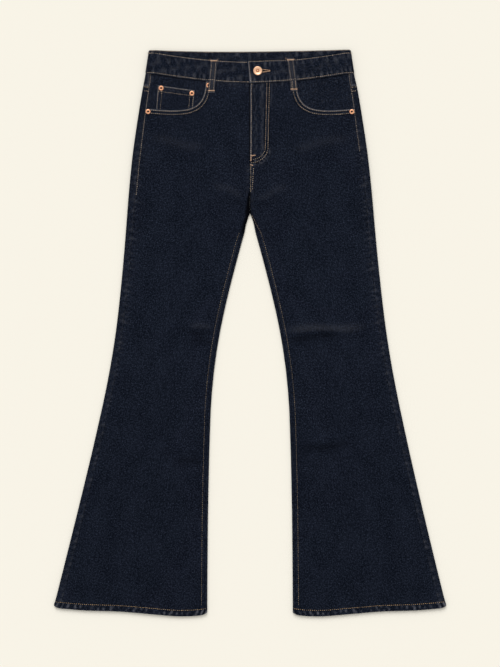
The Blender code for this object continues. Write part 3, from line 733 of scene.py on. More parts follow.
def front_relief(leg, x, y, above_hem):
    """Creases, puckers and sewn ridges of a front panel: their heights, and their wear with painted light and
    shade.

    Each of the functions that it calls adds its part to both in place.
    """
    r = relief()
    folded = creases(leg.side, x, y)
    waves = 0.6 * ripple(x, y, leg.seed, 130 * MM) + 0.22 * ripple(x, y, leg.seed + 1, 40 * MM)
    lift = r.crease * folded + r.wave * waves
    # Painted shade in the crease troughs; the crests are made lighter, partly rubbed and partly painted
    # highlight.
    worn = 0.10 * np.clip(folded, 0, 1) + 0.55 * np.clip(folded, -1, 0)
    press_side_seams(leg, x, y, lift, worn)
    press_top(leg, x, y, lift, worn)
    # Darker towards the hem.
    worn -= 0.11 * (1 - rise(y, -0.30, 0.05))
    press_fly(leg, x, y, lift, worn)
    press_centre_seam(leg, x, y, lift, worn)
    press_crotch(leg, x, y, lift, worn)
    press_hem(leg, x, above_hem, lift, worn)
    return lift, worn


def press_side_seams(leg, x, y, lift, worn):
    """Puckers beside the outseam and the inseam, and the sunk rows of stitches."""
    r = relief()
    from_outseam, from_inseam = leg.seam_out(y) - x, x - leg.seam_in(y)
    fold = puckers(y + 0.35 * from_outseam, leg.seed + 2, 10 * MM)
    beside_outseam = np.exp(-np.maximum(from_outseam, 0) / (5 * MM)) * (1 - rise(y, *HIP))
    lift += r.pucker * fold * beside_outseam
    # Pucker crests lighter, partly rubbed and partly painted highlight; the troughs get painted shade.
    worn += 0.30 * fold * beside_outseam
    leg_part = 1 - rise(y, leg.crotch - 30 * MM, leg.crotch - 5 * MM)
    fold = puckers(y - 0.3 * from_inseam, leg.seed + 3, 10 * MM)
    lift += 0.45 * r.pucker * fold * hill(from_inseam - INSEAM_ROW - 3 * MM, 5 * MM) * leg_part
    lift -= 0.6 * r.groove * hill(from_inseam - INSEAM_ROW, 1.2 * MM) * leg_part
    lift += 0.35 * r.edge * (1 - rise(from_inseam, 4 * MM, 6.5 * MM)) * leg_part
    worn += 0.05 * hill(from_inseam - 3 * MM, 2 * MM) * leg_part


def press_top(leg, x, y, lift, worn):
    """The waist seam, the pocket mouth's turned edge, and the outseam's row below the mouth."""
    r = relief()
    near_mouth = distance_to(leg.mouth_line[::4], x, y)
    waist = distance_to(leg.waist_line[::12], x, y)
    lift *= rise(near_mouth, 4 * MM, 30 * MM) * rise(waist, 0, 25 * MM)
    fold = puckers(x, leg.seed + 4, 12 * MM)
    lift += 0.5 * r.pucker * fold * hill(waist, 9 * MM) * rise(near_mouth, 6 * MM, 16 * MM)
    worn += 0.16 * np.clip(fold, 0, 1) * hill(waist - 2 * MM, 6 * MM)
    lift += r.edge * (1 - rise(near_mouth, 8.2 * MM, 10.2 * MM))
    for row in MOUTH_ROWS:
        lift -= r.groove * hill(near_mouth - row, 1.1 * MM)
        # Painted shade in the groove beside each row of stitches.
        worn -= 0.5 * hill(near_mouth - row - 1.4 * MM, 0.9 * MM)
    around = puckers(x * 1.3 - y, leg.seed + 5, 8 * MM)
    lift += 0.25 * r.pucker * around * hill(near_mouth - 5 * MM, 4 * MM)
    worn += (0.62 + 0.18 * around) * hill(near_mouth - 0.9 * MM, 1.9 * MM)
    worn += 0.10 * hill(near_mouth - 7 * MM, 1.4 * MM)
    from_outseam = leg.seam_out(y) - x
    stitched = rise(y, OUTSEAM_ROW_ENDS[leg.side] - 12 * MM, OUTSEAM_ROW_ENDS[leg.side])
    lift -= r.groove * hill(from_outseam - OUTSEAM_ROW, 1.1 * MM) * stitched
    worn += 0.20 * hill(from_outseam, 1.6 * MM) * stitched


def press_fly(leg, x, y, lift, worn):
    """The fly's rows, edge and ripples on the left front; the right front lies flat beneath it."""
    r = relief()
    low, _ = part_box("fly_facing")
    above_fly = rise(y, low.y - 4 * MM, low.y + 4 * MM)
    if leg.side == "right":
        flat = above_fly * (1 - rise(x, 9 * MM, 18 * MM))
        lift -= 0.1 * MM * (1 - rise(x, 0, 7 * MM)) * above_fly
        lift[:] = mix(lift, np.maximum(lift, -0.1 * MM), flat)
        # Painted shadow cast by the fly's edge onto the right front beneath it.
        worn -= 0.8 * (1 - rise(x, 0.8 * MM, 3 * MM)) * above_fly
        return
    for inset in (FLY_OUTER, FLY_INNER):
        away = distance_to(fly_row(inset), x, y)
        lift -= r.groove * hill(away, 1.1 * MM)
        # Painted shade in the groove beside each row, and a paler rubbed band a little further out.
        worn += 0.14 * hill(away - 2.6 * MM, 1.0 * MM) - 0.55 * hill(away - 1.2 * MM, 0.8 * MM)
    outside = hill(distance_to(fly_row(FLY_OUTER), x, y) - 3.5 * MM, 2.2 * MM)
    outside *= 1 - rise(y, low.y + 22 * MM, low.y + 40 * MM)
    worn += (0.14 + 0.10 * puckers(x - y, leg.seed + 12, 7 * MM)) * outside
    in_fly = 1 - rise(x, 26 * MM, 31 * MM)
    ridges = puckers(x + 1.2 * MM * np.sin(y * 45), leg.seed + 6, 10.5 * MM) * in_fly
    lift += 0.5 * r.pucker * ridges * above_fly * rise(x, 2 * MM, 7 * MM)
    fold = puckers(y, leg.seed + 7, 9 * MM)
    worn += (0.40 + 0.15 * fold) * hill(x - 1.2 * MM, 1.6 * MM) * above_fly
    mottled = ripple(1.6 * x, 0.8 * y, leg.seed + 13, 8 * MM)
    # Painted light and shade along the fly's ridges, with random mottling.
    worn += (0.16 * ridges + 0.09 * mottled) * above_fly * in_fly
    lift -= r.groove * hill(x - 3.2 * MM, 1.0 * MM) * above_fly


def press_centre_seam(leg, x, y, lift, worn):
    """The seam from the fly down to the crotch, whose ridge and two rows are on the left front."""
    r = relief()
    low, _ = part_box("fly_facing")
    seam = (1 - rise(y, low.y - 4 * MM, low.y + 4 * MM)) * rise(y, leg.crotch - 12 * MM, leg.crotch + 8 * MM)
    if leg.side == "left":
        for row in (1.6 * MM, 6.5 * MM):
            lift -= r.groove * hill(x - row, 1.0 * MM) * seam
        lift += r.edge * (1 - rise(x, 7.5 * MM, 10 * MM)) * seam
    pulled = puckers(y, leg.seed + 8, 7 * MM)
    lift += 0.3 * r.pucker * pulled * hill(x, 8 * MM) * seam
    worn += 0.14 * np.clip(pulled, 0, 1) * hill(x - 3 * MM, 4 * MM) * seam


def press_crotch(leg, x, y, lift, worn):
    """The fold just above the crotch, sunk and darkened with painted shade, and painted shade between the
    legs below it.
    """
    above_crotch = y - leg.crotch
    sunk = rise(above_crotch, -8 * MM, 3 * MM) * (1 - rise(above_crotch, 25 * MM, 56 * MM))
    widest, shade = (13 * MM, 1.3) if leg.side == "right" else (3.5 * MM, 0.35)
    reach = np.maximum(widest - 0.2 * above_crotch, 1.8 * MM)
    shut = (1 - rise(x, 0.3 * reach, reach)) * sunk
    lift -= 1.2 * MM * shut
    # Painted shade in the fold.
    worn -= 1.4 * shut
    under = rise(above_crotch, -60 * MM, -5 * MM) * (1 - rise(above_crotch, 0, 10 * MM))
    # Painted shade between the legs.
    worn -= shade * under * (1 - rise(x - leg.seam_in(y), 1 * MM, 9 * MM))


def hem_ropes(leg, x, above_hem):
    """The slanting ropes of a hem, whose inner layer has slipped, and 1 inside the hem."""
    in_hem = 1 - rise(above_hem, HEM_ROW - 1.5 * MM, HEM_ROW + 0.5 * MM)
    return puckers(x + 0.45 * above_hem, leg.seed + 9, 11.5 * MM) * in_hem, in_hem


def press_hem(leg, x, above_hem, lift, worn):
    """The turned and roped hem, and the puckers above its row of stitches."""
    r = relief()
    rope, in_hem = hem_ropes(leg, x, above_hem)
    across = np.sin(np.clip(above_hem / HEM_ROW, 0, 1) * pi) ** 0.6
    lift *= rise(above_hem, 2 * MM, 30 * MM)
    lift += r.roping * rope * across
    above = puckers(x - 0.2 * above_hem, leg.seed + 10, 12 * MM)
    above *= hill(above_hem - HEM_ROW - 3 * MM, 7 * MM) * (1 - in_hem)
    lift += 0.5 * r.pucker * above - r.groove * hill(above_hem - HEM_ROW, 1.3 * MM)
    # Rope crests lighter where rubbed; the troughs between them get painted shade.
    worn += 0.75 * np.maximum(rope, -0.3 * in_hem) * across + 0.25 * hill(above_hem, 1.5 * MM)
    worn += 0.12 * np.clip(above, 0, 1)


# Lengths for which the rows and columns of points are spaced: a panel's width and the length beside
# its pocket mouth, the width of a leg's back, and the band's height and its closely spaced end.
PANEL_WIDTH, MOUTH_LENGTH, BACK_WIDTH = 0.225, 0.065, 0.21
BAND_HEIGHT, BUTTONED_LENGTH = 40.5 * MM, 46 * MM


def front_panel(leg, look):
    """A front panel from waist and pocket mouth to hem."""
    s = cloth_settings()
    full_y = leg.full_y
    across = graded(PANEL_WIDTH, s.grid)
    walked = np.concatenate([[0], np.cumsum(np.hypot(*np.diff(leg.top_line, axis=0).T))])
    stops = across * walked[-1]
    top_x, top_y = (np.interp(stops, walked, leg.top_line[:, k])[None] for k in (0, 1))
    upper = graded(MOUTH_LENGTH, s.grid, end=NO_GRADING)[:-1, None]
    lower = mix(full_y, leg.hem_corner, graded(full_y - leg.hem_corner, s.grid, start=NO_GRADING))[:, None]
    y_up = mix(top_y, np.full_like(top_y, full_y), upper)
    x_up = mix(top_x, mix(leg.seam_in(full_y), leg.seam_out(full_y), across[None]), upper)
    x_up = x_up + (leg.seam_out(y_up[:, -1:]) - x_up[:, -1:]) * across[None]
    x_low = mix(leg.seam_in(lower), leg.seam_out(lower), across[None])
    y_low = hem_levels(leg, lower, x_low)
    x_low = mix(leg.seam_in(y_low), leg.seam_out(y_low), across[None])
    x, y = np.concatenate([x_up, x_low]), np.concatenate([y_up, y_low])
    above_hem = y - y[-1:]
    y = y + rounded_corners(leg, x, y, above_hem)
    heights = HeightMap([leg.front])
    wall = hem_wall(above_hem)
    z = heights(leg.sign * x, y) - wall / 2
    lift, worn = front_relief(leg, x, y, above_hem)
    on_back = leg.low(y) + s.denim + 0.2 * MM + wall / 2
    lift = np.maximum(lift, np.minimum(on_back - z, 0))
    grid = signed(leg, np.stack([x, y, z], axis=2))
    name = f"denim_front_{leg.side}"
    return cloth_piece(name, leg.front, grid, wall, look, lift, worn)


# ---------------------------------------------------------------- back pieces

STRIP_SHARES = np.array([0.0, 0.04, 0.09, 0.16, 0.25, 0.36, 0.50, 0.65, 0.82])
FOLD_ANGLES = np.radians(np.arange(90, -91, -22.5))
CURLED_SHARES = (0.25, 0.5, 0.75, 1.0)
CURL_LENGTH = 33 * MM


def tube_row(leg, y, wall, inseam=True):
    """The back cloth's middle line at a level: half widths, heights and facings from the outseam."""
    s = cloth_settings()
    low = float(leg.low(y)) + wall / 2
    radius = (float(leg.fold_high(y)) - float(leg.low(y)) - wall) / 2
    outer = float(leg.outer(y)) - wall / 2 - radius
    start = float(leg.seam_out(y)) + leg.SEAM_HALF
    strip = [(mix(start, outer, t), low + 2 * radius, 1.0) for t in STRIP_SHARES]
    fold = [(outer + radius * cos(a), low + radius + radius * sin(a), sin(a)) for a in FOLD_ANGLES]
    near = np.array([0, 2, 5]) * MM
    flat_shares = graded(BACK_WIDTH, 1.4 * s.grid, start=near, end=near)[1:-1]
    seam = max(leg.SEAM_HALF, float(leg.inner(y)))
    tail = seam + 3 * MM
    level = [(mix(outer, tail, t), low, -1.0) for t in flat_shares]
    count = len(FOLD_ANGLES) + len(CURLED_SHARES)
    level += [(mix(tail, seam, t), low, -1.0) for t in np.linspace(0, 1, count) ** 0.6]
    curl = min(max((leg.crotch - y) / CURL_LENGTH, 0.0), 1.0)
    if not inseam or curl == 0.0:
        return np.array(strip + fold + level)
    inner = float(leg.inner(y)) + wall / 2 + radius
    end = max(float(leg.inseam(y)) - leg.SEAM_HALF, float(leg.inner(y)) + 1.2 * (wall / 2 + radius))
    curled = [(mix(outer, inner, t), low, -1.0) for t in flat_shares]
    curled += [(inner - radius * cos(a), low + radius - radius * sin(a), -sin(a)) for a in FOLD_ANGLES]
    curled += [(mix(inner, end, t), low + 2 * radius, 1.0) for t in CURLED_SHARES]
    return np.concatenate([np.array(strip + fold), mix(np.array(level), np.array(curled), curl)])


def back_relief(leg, x, y, facing, above_hem):
    """Puckers where the back cloth shows on the front, along the outseam, and round the hem."""
    r = relief()
    up = np.clip(facing, 0, 1)
    past_seam = x - leg.seam_out(y)
    fold = puckers(y - 0.35 * past_seam, leg.seed + 2, 10 * MM)
    beside_outseam = np.exp(-np.maximum(past_seam, 0) / (6 * MM)) * (1 - rise(y, *HIP)) * up
    beside_outseam *= past_seam > -2 * MM
    lift = 0.8 * r.pucker * fold * beside_outseam
    worn = 0.30 * np.clip(fold, 0, 1) * beside_outseam + 0.03 * hill(past_seam, 1.5 * MM) * up
    inner = x < leg.seam_in(y) + 1 * MM
    below = rise(y, leg.crotch - 60 * MM, leg.crotch - 15 * MM)
    # Painted shade between the legs, below the crotch.
    worn -= (1.5 if leg.side == "right" else 0.5) * below * inner
    rope, _ = hem_ropes(leg, x, above_hem)
    lift += 0.6 * r.roping * rope * up - up * r.groove * hill(above_hem - HEM_ROW, 1.3 * MM)
    # Rope crests lighter where rubbed; the troughs between them get painted shade.
    worn += 0.75 * np.clip(rope, -0.3, 1) + 0.25 * hill(above_hem, 1.5 * MM)
    return lift, worn


def yoke_line(leg):
    """The yoke's lower seam as a function of the half width."""
    places = np.linspace(2 * MM, YOKE_END_X, 12)
    lows = [cut(leg.yoke, 0, leg.sign * x)[:, 1].min() for x in places]
    return fair_line(places, lows)


def back_panel(leg, look):
    """A back panel from the yoke to the hem, turned up round both edges of the leg."""
    s = cloth_settings()
    seam = yoke_line(leg)
    side_y, full_y = float(seam(YOKE_END_X)), leg.full_y
    upper = mix(side_y, full_y, graded(side_y - full_y, s.grid, end=NO_GRADING)[:-1])
    lower = graded(full_y - leg.hem_corner, 1.3 * s.grid, start=NO_GRADING)
    rows, walls, facings = [], [], []
    for nominal in [*upper, *mix(full_y, leg.hem_corner, lower)]:
        wall = float(hem_wall(nominal - leg.hem_corner))
        line = tube_row(leg, nominal, wall)
        x, z, facing = line.T
        if nominal > full_y:
            share = (side_y - nominal) / (side_y - full_y)
            y = mix(seam(x) - 0.3 * MM, full_y, share)
        else:
            y = hem_levels(leg, np.full_like(x, nominal), x)
            across = (x - leg.inner(nominal)) / (leg.outer(nominal) - leg.inner(nominal))
            inwards = leg.inner(y) - leg.inner(nominal)
            outwards = leg.seam_out(y) - leg.seam_out(nominal)
            x = x + mix(inwards, outwards, np.clip(across, 0, 1))
        rows.append(np.stack([x, y, z], axis=1))
        walls.append(np.full_like(x, wall))
        facings.append(facing)
    grid, wall, facing = np.array(rows), np.array(walls), np.array(facings)
    above_hem = grid[..., 1] - grid[-1:, :, 1]
    grid[..., 1] += rounded_corners(leg, grid[..., 0], grid[..., 1], above_hem)
    lift, worn = back_relief(leg, grid[..., 0], grid[..., 1], facing, above_hem)
    name, grid = f"denim_back_{leg.side}", signed(leg, grid)
    return cloth_piece(name, leg.back, grid, wall, look, lift, worn)


def yoke_piece(leg, look):
    """A yoke between the waistband and a back panel, turned up onto the front."""
    s = cloth_settings()
    seam = yoke_line(leg)
    side_y, band_y = float(seam(YOKE_END_X)), leg.side_band_y
    near = EDGE_STEPS[:5]
    rows, facings = [], []
    for share in graded(band_y - side_y + 14 * MM, s.grid, start=near, end=near):
        line = tube_row(leg, mix(band_y, side_y, share), s.denim, inseam=False)
        x, z, facing = line.T
        y = mix(BAND.bottom(x, facing) - 0.3 * MM, seam(x) + 0.15 * MM, share)
        rows.append(np.stack([x, y, z], axis=1))
        facings.append(facing)
    grid, facing = np.array(rows), np.array(facings)
    up = np.clip(facing, 0, 1)
    x, y = grid[..., 0], grid[..., 1]
    worn = 0.3 * hill(x - leg.seam_out(y) - 1 * MM, 2 * MM) * up + 0.45 * hill(y - seam(x) - 1 * MM, 1.8 * MM)
    name, grid = f"denim_yoke_{leg.side}", signed(leg, grid)
    return cloth_piece(name, leg.yoke, grid, s.denim, look, worn=worn)


# ---------------------------------------------------------------- waistband, pockets and loops


def band_shares():
    """How the waistband's columns are spaced: along its right end, its back and its left end."""
    step, near = cloth_settings().grid, EDGE_STEPS[:8]
    right = graded(BAND.underlap_end + BAND.widest, step, start=near, end=NO_GRADING)
    back = np.linspace(0, 1, int(2 * BAND.widest / (1.5 * step)))[1:-1]
    length = BAND.widest - BAND.overlap_end
    plain = length - BUTTONED_LENGTH
    far = graded(plain, step, start=NO_GRADING, end=NO_GRADING)[:-1] * plain
    close = plain + graded(BUTTONED_LENGTH, 1.1 * MM, start=NO_GRADING, end=near) * BUTTONED_LENGTH
    return right, back, np.concatenate([far, close]) / length


def band_path(share, columns):
    """The waistband's middle line: places, heights and facings from the underlap to the overlap."""
    right, across, left = columns
    wall = cloth_settings().band
    back = BAND.back_low + wall / 2
    front = BAND.front_high - wall / 2
    top = BAND.top_high - wall / 2
    radius = (front - back) / 2
    edge_y = mix(BAND.bottom(BAND.widest), BAND.top(BAND.widest), share)
    low_x, high_x = (leg.sign * (float(leg.outer(edge_y)) - wall / 2 - radius) for leg in LEGS.values())
    line = [(x, front, 1.0, 0.0) for x in mix(BAND.underlap_end, low_x, right)[:-1]]
    line += [(low_x - radius * cos(a), back + radius + radius * sin(a), sin(a), 0.0) for a in FOLD_ANGLES]
    line += [(x, back, -1.0, 0.0) for x in mix(low_x, high_x, across)]
    line += [(high_x + radius * cos(a), back + radius - radius * sin(a), -sin(a), 0.0) for a in FOLD_ANGLES]
    for x in mix(high_x, BAND.overlap_at(mix(BAND.bottom(0), BAND.top(0), share)), left)[1:]:
        lap = float(BAND.lap(x))
        line.append((x, mix(front, top, lap), 1.0, lap))
    return np.array(line)


def waistband(look):
    """One strip round the waist, its left end buttoned over its right end."""
    columns, near = band_shares(), EDGE_STEPS[:7]
    rows = []
    for share in graded(BAND_HEIGHT, 1.5 * MM, start=near, end=near):
        x, z, facing, lap = band_path(share, columns).T
        y = mix(BAND.bottom(x, facing), mix(BAND.top(x, facing), BAND.lapped_top(x), lap), share)
        rows.append(np.stack([x, y, z, facing, lap], axis=1))
    rows = np.array(rows)
    grid, facing, on_overlap = rows[..., :3], rows[..., 3], rows[..., 4]
    lift, worn = band_relief(grid[..., 0], grid[..., 1], facing, on_overlap)
    wall, rests_on = cloth_settings().band, ["yoke_left", "yoke_right"]
    return cloth_piece("denim_waistband", "waistband", grid, wall, look, lift, worn)


def band_relief(x, y, facing, on_overlap):
    """Puckers, sunk rows, the buttonhole's slit and the rubbed edges of the waistband, with painted shade in
    the slit and in the hollows of the puckers.
    """
    r = relief()
    from_bottom, from_top = y - BAND.bottom(x, facing), BAND.top(x, facing) - y
    low_fold, high_fold = puckers(x, 51, 9 * MM), puckers(x + 5 * MM, 52, 10 * MM)
    quilt = ripple(x, y, 53, 15 * MM)
    past_end = x - BAND.overlap_at(y)
    slit = distance_to(buttonhole(), x, y)
    lift = 0.55 * r.pucker * low_fold * hill(from_bottom - 5 * MM, 6 * MM)
    lift += 0.45 * r.pucker * high_fold * hill(from_top - 5 * MM, 5 * MM)
    lift += 0.25 * r.pucker * quilt - r.groove * hill(from_bottom - BAND_LOW_ROW, 1.1 * MM)
    lift -= r.groove * hill(from_top - BAND_HIGH_ROW, 1.1 * MM)
    lift -= r.groove * hill(past_end - BAND_END_ROW, 1.0 * MM) * on_overlap
    lift -= 1.3 * MM * hill(slit, 0.9 * MM) * on_overlap
    worn = 0.16 * hill(from_bottom - 0.8 * MM, 1.4 * MM) + 0.16 * hill(from_top - 0.6 * MM, 1.4 * MM)
    worn += 0.75 * hill(past_end - 0.4 * MM, 1.3 * MM) * on_overlap
    # Pucker and quilt crests lighter, partly rubbed; their hollows get painted shade.
    worn += 0.32 * low_fold * hill(from_bottom - 6 * MM, 5 * MM)
    worn += 0.20 * high_fold * hill(from_top - 5 * MM, 5 * MM) + 0.08 * quilt + 0.02
    corner_rub = np.hypot(past_end - 5 * MM, from_bottom - 5 * MM)
    # Painted shade in the buttonhole's slit.
    worn += 0.34 * hill(corner_rub, 6 * MM) * on_overlap - 1.5 * hill(slit, 1.5 * MM) * on_overlap
    return lift * np.clip(facing, 0, 1), worn


def bilinear(corners, across, along):
    """A grid over a four-sided outline: corners are top left, top right, low left and low right."""
    top = mix(corners[0][None], corners[1][None], across[:, None])
    low = mix(corners[2][None], corners[3][None], across[:, None])
    return mix(top[None], low[None], along[:, None, None])


def corners_of(node):
    """A flat CAD node's corners: top left, top right, low left and low right."""
    return [corner(node, a, b) for a, b in ((-1, 1), (1, 1), (-1, -1), (1, -1))]


def from_sides(node, x, y):
    """How far each place is from the nearer side of a four-sided flat CAD node."""
    top_left, top_right, low_left, low_right = corners_of(node)
    return np.minimum(distance_to([top_left, low_left], x, y), distance_to([top_right, low_right], x, y))


def at_height(plan, height):
    """A grid of places in the plane, raised to a height."""
    return np.concatenate([plan, np.full(plan.shape[:2] + (1,), height)], axis=2)


def flat_patch(node, step, height):
    """A grid over a four-sided flat CAD node at one height."""
    corners = corners_of(node)
    width, length = np.hypot(*(corners[1] - corners[0])), np.hypot(*(corners[2] - corners[0]))
    near = EDGE_STEPS[EDGE_STEPS < min(width, length) / 2 - 1 * MM][:10]
    plan = bilinear(corners, graded(width, step, near, near), graded(length, step, near, near))
    return at_height(plan, height)


def pocket_facing(leg, look):
    """The cloth behind a pocket mouth."""
    node = f"pocket_facing_{leg.side}"
    low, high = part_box(node)
    inner = min(abs(low.x), abs(high.x))
    along = graded(0.085, 3.5 * MM, start=EDGE_STEPS[:5], end=EDGE_STEPS[:3])
    across = graded(0.1, 3.5 * MM, start=EDGE_STEPS[:3], end=EDGE_STEPS[:8])
    nominal = mix(leg.side_band_y, low.y, along)[:, None]
    x = mix(inner, leg.seam_out(nominal) - leg.SEAM_HALF, across[None])
    y = mix(BAND.bottom(x) - 0.3 * MM, low.y, along[:, None])
    seed = 61 if leg.side == "left" else 62
    from_seam = leg.seam_out(y) - x
    fold = puckers(y, seed, 11 * MM)
    lift = 0.12 * MM * ripple(x, y, seed, 40 * MM) - 0.25 * MM * hill(from_seam - OUTSEAM_ROW, 1.1 * MM)
    worn = 0.28 * hill(from_seam - 0.5 * MM, 1.6 * MM) + 0.2 * np.clip(fold, 0, 1) * hill(from_seam, 6 * MM)
    worn += 0.035 * ripple(x, y, seed + 2, 11 * MM)
    name, wall = f"denim_facing_{leg.side}", cloth_settings().trim
    grid = signed(leg, at_height(np.stack([x, y], axis=2), (low.z + high.z) / 2))
    return cloth_piece(name, node, grid, wall, look, lift, worn)


def coin_pocket(look):
    """The small pocket on the right facing, with two rows along its top and down each side."""
    r, node = relief(), "coin_pocket"
    low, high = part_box(node)
    grid = flat_patch(node, 3 * MM, (low.z + high.z) / 2)
    x, y = grid[..., 0], grid[..., 1]
    from_top, from_side = distance_to(corners_of(node)[:2], x, y), from_sides(node, x, y)
    lift = 0.35 * MM * (1 - rise(from_top, 11 * MM, 13 * MM))
    lift += 0.2 * MM * (1 - rise(from_side, 8.5 * MM, 10 * MM))
    for away, rows in ((from_top, COIN_TOP_ROWS), (from_side, COIN_SIDE_ROWS)):
        for row in rows:
            lift -= 0.6 * r.groove * hill(away - row, 1.0 * MM)
    fold, turned_top = puckers(x + y, 71, 7 * MM), hill(from_top - 6 * MM, 5 * MM)
    lift += 0.2 * r.pucker * fold * turned_top
    worn = 0.8 * hill(from_top, 1.3 * MM) + 0.6 * hill(from_side, 1.2 * MM)
    worn += 0.2 * np.clip(fold, 0, 1) * turned_top
    name, wall, rests_on = "denim_coin_pocket", cloth_settings().trim, ["pocket_facing_right"]
    return cloth_piece(name, node, grid, wall, look, lift, worn)


def hidden_fly(look, tape):
    """The fly facing and the zip's tape, which the front panel covers."""
    wall = cloth_settings().trim
    low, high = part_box("fly_facing")
    rows = []
    for y in np.linspace(high.y - 1.5 * MM, low.y + 0.5 * MM, 30):
        across = cut("fly_facing", 1, y + 0.01 * MM)[:, 0]
        rows.append([(x, y) for x in mix(across.min(), across.max(), np.linspace(0, 1, 9))])
    grid = at_height(np.array(rows), (low.z + high.z) / 2)
    facing = cloth_piece("denim_fly_facing", "fly_facing", grid, wall, look)
    low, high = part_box("fly_zip")
    grid = flat_patch("fly_zip", 4 * MM, (low.z + high.z) / 2)
    zip_tape = cloth_piece("zip_tape", "fly_zip", grid, wall, tape)
    return facing, zip_tape


def back_pocket(leg, look):
    """A plain patch pocket with a pointed foot, on the back."""
    node, wall = f"back_pocket_{leg.side}", cloth_settings().denim
    top_left, top_right, low_left, low_right = (each[None] for each in corners_of(node))
    foot = corner(node, 0, -1)[None]
    shares = np.linspace(0, 1, 31)
    across = shares[:, None]
    to_foot, from_foot = mix(low_left, foot, 2 * across), mix(foot, low_right, 2 * across - 1)
    bottom = np.where(2 * across < 1, to_foot, from_foot)
    plan = mix(mix(top_left, top_right, across)[None], bottom[None], shares[:, None, None])
    grid = at_height(plan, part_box(node)[1].z - wall / 2)
    worn = 0.4 * hill(from_border(grid), 1.5 * MM)
    return cloth_piece("denim_" + node, node, grid, wall, look, worn=worn)


def belt_loop(node, look):
    """A folded strip: a bridge on the front, or pressed flat on the back."""
    s, r = cloth_settings(), relief()
    name = f"denim_{node[5:]}"
    low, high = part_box(node)
    grid = flat_patch(node, 2.2 * MM, 0.0)
    x, y = grid[..., 0], grid[..., 1]
    if node in BACK_LOOPS:
        grid[..., 2] = high.z - s.denim / 2
        return cloth_piece(name, node, grid, s.denim, look)
    grid[..., 2] = fair_profile(node)(y) - s.loop / 2
    from_side = from_sides(node, x, y)
    ends = np.minimum(high.y - y, y - low.y)
    lift = 0.25 * MM * hill(from_side - 6.5 * MM, 2.2 * MM)
    lift -= 0.7 * r.groove * hill(from_side - 2.6 * MM, 0.8 * MM)
    lift -= 0.45 * MM * hill(ends - 4 * MM, 2 * MM)
    fold = puckers(y, 81, 6 * MM)
    worn = (0.22 + 0.15 * fold) * hill(from_side - 0.7 * MM, 1.4 * MM)
    worn += 0.09 + 0.08 * hill(from_side - 6.5 * MM, 2 * MM) + 0.3 * hill(ends, 2 * MM)
    return cloth_piece(name, node, grid, s.loop, look, lift, worn)


def fair_profile(node):
    """A bridge's upper height along the garment, smoothed."""
    low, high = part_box(node)
    ys = np.linspace(low.y + 0.3 * MM, high.y - 0.3 * MM, 25)
    heights = [cut(node, 1, y)[:, 2].max() for y in ys]
    return fair_line(ys, soften(plan_of(ys, heights), 6)[:, 1])


# ---------------------------------------------------------------- topstitching


class Needle:
    """Lays thread on the finished cloth, one group of rows to an object."""

    FLATNESS = 0.76

    def __init__(self, under=False):
        self.under = under
        self.trees = [tree_of(made) for made in cloth_made]
        self.rng = np.random.default_rng(17)
        self.tints = []
        self.bm = bmesh.new()
        bud, turn = bmesh.new(), Matrix.Rotation(pi / 2, 4, "Y")
        bmesh.ops.create_uvsphere(bud, u_segments=7, v_segments=5, radius=0.5, matrix=turn)
        self.bud = mesh_of(bud, "stitch")

    def height(self, x, y):
        """The height of the cloth that a stitch lies on."""
        if self.under:
            found = lowest_of(self.trees, x, y)
            return found if found is not None else 0.0
        return topmost(self.trees, x, y)

    def stitch(self, start, end, width, sunk=0.12):
        """One visible length of thread between two places."""
        a = Vector((*start, self.height(*start)))
        b = Vector((*end, self.height(*end)))
        along, half_height = b - a, self.FLATNESS / 2
        turn = along.to_track_quat("X", "Z").to_matrix().to_4x4()
        middle = (a + b) / 2
        if self.under:
            middle.z -= (half_height - sunk) * width
        else:
            middle.z = max(middle.z, self.height(middle.x, middle.y)) + (half_height - sunk) * width
        middle.z = max(middle.z, half_height * width)
        sizes = along.length * 1.04, width * self.rng.uniform(0.9, 1.1), self.FLATNESS * width, 1.0
        place = Matrix.Translation(middle) @ turn @ Matrix.Diagonal(sizes)
        self.bud.transform(place)
        self.bm.from_mesh(self.bud)
        self.bud.transform(place.inverted())
        self.tints.append(self.rng.uniform(0.2, 1.0))

    def row(self, points, width, ceiling=1.0):
        """Stitches along a line of points, each a little shorter or longer than the next.

        Where other cloth lies over the row, higher than the ceiling, it is left out.
        """
        t = thread()
        stops = walk_along(points, t.pitch)
        for a, b in zip(stops[:-1], stops[1:]):
            if max(self.height(*a), self.height(*b)) > ceiling:
                continue
            along = b - a
            length = max(hypot(*along), 1e-6)
            start = self.rng.uniform(0.3, 0.7) * t.gap / length
            end = 1 - self.rng.uniform(0.3, 0.7) * t.gap / length
            aside = self.rng.uniform(-0.05, 0.05) * t.pitch * np.array([-along[1], along[0]]) / length
            self.stitch(mix(a, b, start) + aside, mix(a, b, end) + aside, width)

    def bar(self, start, end, reach, width):
        """A bartack: close stitches side by side from one place to another."""
        start, end = np.array(start, float), np.array(end, float)
        along = (end - start) / hypot(*(end - start))
        aside = np.array([-along[1], along[0]]) * reach / 2
        for place in walk_along([start, end], 0.82 * width):
            slip = aside * self.rng.uniform(0.85, 1.1)
            self.stitch(place - slip, place + slip, width, sunk=0.02)

    def finish(self, name, look):
        """All the thread laid so far as one object."""
        mesh = mesh_of(self.bm, name)
        tints = np.repeat(self.tints, len(self.bud.vertices))
        mesh.attributes.new("tint", "FLOAT", "POINT").data.foreach_set("value", tints)
        bpy.data.meshes.remove(self.bud)
        return add_object(name, mesh, [look])


def mirrored(leg, points):
    """A line of half widths as a line of places."""
    return np.asarray(points, float) * np.array([leg.sign, 1.0])


